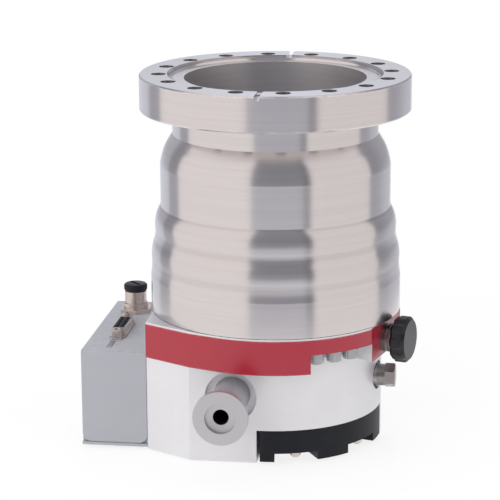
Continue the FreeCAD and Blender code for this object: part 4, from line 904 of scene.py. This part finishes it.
# Painted shade: the lower right side of the D shaped shell takes the darker plug steel colour.
secondFinish("dsub_shell_shape", finishes["plugSteelAndShellShade"], onShadedSide)


# Floor, camera and light

print("studio")
table = {"radius": 0.33, "sides": 96, "colour": (0.93, 0.93, 0.93), "white": 1.04, "glow": 0.80}
pureWhite = (1.0, 1.0, 1.0)

work = bmesh.new()
bmesh.ops.create_circle(work, cap_ends=True, radius=table["radius"], segments=table["sides"],
                        matrix=Matrix.Translation((0.0, 0.0, cadLow.z)))
tableMesh = bpy.data.meshes.new("studio_table")
work.to_mesh(tableMesh)
work.free()
floor = bpy.data.objects.new("studio_table", tableMesh)
scene.collection.objects.link(floor)

tableMaterial = bpy.data.materials.new("pale table")
tableMaterial.use_nodes = True
tableTree = tableMaterial.node_tree
tableTree.nodes.clear()


def seenRays(tree):
    # Two masks: rays straight from the camera, and rays by way of a mirror or glass.
    rays = addNode(tree, "ShaderNodeLightPath")
    return rays["Is Camera Ray"], rays["Is Glossy Ray"] + rays["Is Transmission Ray"]


straight, mirrored = seenRays(tableTree)
paper = addNode(tableTree, "ShaderNodeBsdfDiffuse", {"Color": table["colour"]})["BSDF"]
glow = addNode(tableTree, "ShaderNodeEmission", {
    "Color": pureWhite, "Strength": table["white"]})["Emission"]
glowShare = (straight + mirrored) * table["glow"]
tableLook = addNode(tableTree, "ShaderNodeMixShader", {0: glowShare, 1: paper, 2: glow})["Shader"]
addNode(tableTree, "ShaderNodeOutputMaterial", {"Surface": tableLook})
tableMesh.materials.append(tableMaterial)

camera = {
    "place": (0.15731, -1.17796, 0.20277),
    "turn": -8.3087,
    "pitch": 14.3820,
    "roll": -0.28066,
    "focalPixels": 2159.3,
    "framePixels": 500.0,
    "sensor": 36.0,
    "nearest": 0.05,
    "farthest": 20.0,
}
turn = math.radians(camera["turn"])
pitch = math.radians(camera["pitch"])
roll = math.radians(camera["roll"])
sideways = Vector((math.cos(turn), -math.sin(turn), 0.0))
upwards = Vector((math.sin(turn) * math.sin(pitch), math.cos(turn) * math.sin(pitch),
                  math.cos(pitch)))
rolledSide = math.cos(roll) * sideways + math.sin(roll) * upwards
rolledUp = math.cos(roll) * upwards - math.sin(roll) * sideways
away = rolledSide.cross(rolledUp)
cameraData = bpy.data.cameras.new("photo_camera")
cameraData.sensor_width = camera["sensor"]
cameraData.lens = camera["focalPixels"] * camera["sensor"] / camera["framePixels"]
cameraData.clip_start = camera["nearest"]
cameraData.clip_end = camera["farthest"]
cameraObject = bpy.data.objects.new("photo_camera", cameraData)
scene.collection.objects.link(cameraObject)
axes = Matrix((rolledSide, rolledUp, away)).transposed().to_4x4()
cameraObject.matrix_world = Matrix.Translation(Vector(camera["place"])) @ axes
scene.camera = cameraObject

world = bpy.data.worlds.new("studio_world")
scene.world = world
world.use_nodes = True
worldTree = world.node_tree
worldTree.nodes.clear()

# The panels round the pump. A band is two bearings and its softness, a ramp is its start and
# end as bearings or rises, all in degrees, and a level is a strength.
sky = {
    "leftLevel": 1.0, "rightLevel": 0.90, "rightTurn": (30.0, 60.0),
    "gap": (-16.5, 42.5, 1.5), "gapLow": 0.74, "gapMiddle": 0.32, "gapHigh": 0.50,
    "gapFoot": (-11.0, -3.0), "gapTop": (40.0, 60.0),
    "gapEdge": (35.5, 43.0, 1.0), "gapEdgeShade": 0.42,
    "backLevel": 0.88, "backFoot": (-2.0, 6.0), "backTop": (50.0, 35.0),
    "backRight": (170.0, 174.0), "backLeft": (-164.0, -168.0),
    "shade": 0.30, "shadeFoot": (-10.0, -2.0), "shadeTop": (60.0, 45.0),
    "strip": (-125.0, -105.0, 1.5), "stripLevel": 0.52,
    "farLeft": (-166.0, -125.0, 1.5), "farLeftLevel": 0.82,
    "farRight": (115.0, 172.0, 1.5), "farRightTurn": (122.0, 150.0),
    "farRightNear": 0.52, "farRightFar": 0.68,
    "behindFoot": (-4.0, -8.0), "behindGap": (-166.0, 172.0, 3.0),
    "gapTint": (0.93, 0.96, 1.06), "panelTint": (1.0, 0.975, 0.97),
}
degreesPerRadian = 180.0 / math.pi
generated = addNode(worldTree, "ShaderNodeTexCoord")["Generated"]
direction = addNode(worldTree, "ShaderNodeSeparateXYZ", {"Vector": generated})
bearing = maths(worldTree, "ARCTAN2", direction["X"], 0.0 - direction["Y"]) * degreesPerRadian
rise = maths(worldTree, "ARCSINE", direction["Z"]) * degreesPerRadian


def skyRamp(value, name, *levels):
    return ramp(worldTree, value, *sky[name], *levels)


def skyBand(name):
    # One between two bearings of the surroundings, falling off softly at both ends.
    start, end, soft = sky[name]
    rising = ramp(worldTree, bearing, start - soft, start + soft)
    return rising * ramp(worldTree, bearing, end + soft, end - soft)


panels = sky["leftLevel"] + skyRamp(bearing, "rightTurn") * (sky["rightLevel"] - sky["leftLevel"])
gapHeight = skyRamp(rise, "gapFoot", sky["gapLow"], sky["gapMiddle"])
gapHeight = gapHeight + skyRamp(rise, "gapTop") * (sky["gapHigh"] - sky["gapMiddle"])
gapHeight = gapHeight * (1.0 - skyBand("gapEdge") * sky["gapEdgeShade"])
gap = skyBand("gap")
back = skyRamp(rise, "backFoot") * skyRamp(rise, "backTop")
back = back * (skyRamp(bearing, "backRight") + skyRamp(bearing, "backLeft"))
shaded = 1.0 - skyRamp(rise, "shadeFoot") * skyRamp(rise, "shadeTop") * sky["shade"]
strip = skyBand("strip")
farLeft = skyBand("farLeft")
farRight = skyBand("farRight")
panels = panels + back * (sky["backLevel"] - panels)
level = panels + gap * (gapHeight - panels) + strip * (sky["stripLevel"] * shaded - panels)
level = level + farLeft * (sky["farLeftLevel"] * shaded - panels)
rightLevel = skyRamp(bearing, "farRightTurn", sky["farRightNear"], sky["farRightFar"])
level = level + farRight * (rightLevel * shaded - panels)
seen, mirroredSky = seenRays(worldTree)
behind = mirroredSky * skyRamp(rise, "behindFoot") * (1.0 - skyBand("behindGap"))
white = seen + (1.0 - seen) * behind
strength = level * (1.0 - white) + white
cool = maths(worldTree, "MINIMUM", gap + strip + farLeft + farRight + back, 1.0)
tint = mixColour(worldTree, cool, sky["panelTint"], sky["gapTint"])
background = addNode(worldTree, "ShaderNodeBackground", {
    "Color": mixColour(worldTree, white, tint, pureWhite), "Strength": strength})["Background"]
addNode(worldTree, "ShaderNodeOutputWorld", {"Surface": background})

lamps = {
    "front_panel": {
        "place": (-0.5, -1.7, 0.7), "size": 1.2, "power": 9.0, "colour": (1.0, 0.99, 0.99)},
    "top_panel": {
        "place": (0.1, 0.1, 1.8), "size": 1.2, "power": 7.5, "colour": (0.97, 0.98, 1.0)},
}
aim = Vector((0.0, 0.0, (cadLow.z + cadHigh.z) / 2))
for lampName, lamp in lamps.items():
    lampData = bpy.data.lights.new(lampName, "AREA")
    lampData.shape = "SQUARE"
    lampData.size = lamp["size"]
    lampData.energy = lamp["power"]
    lampData.color = lamp["colour"]
    lampObject = bpy.data.objects.new(lampName, lampData)
    scene.collection.objects.link(lampObject)
    lampObject.location = lamp["place"]
    lampObject.rotation_euler = (aim - Vector(lamp["place"])).to_track_quat("-Z", "Y").to_euler()
    lampObject.visible_glossy = False

scene.view_settings.view_transform = "Standard"

print("done")
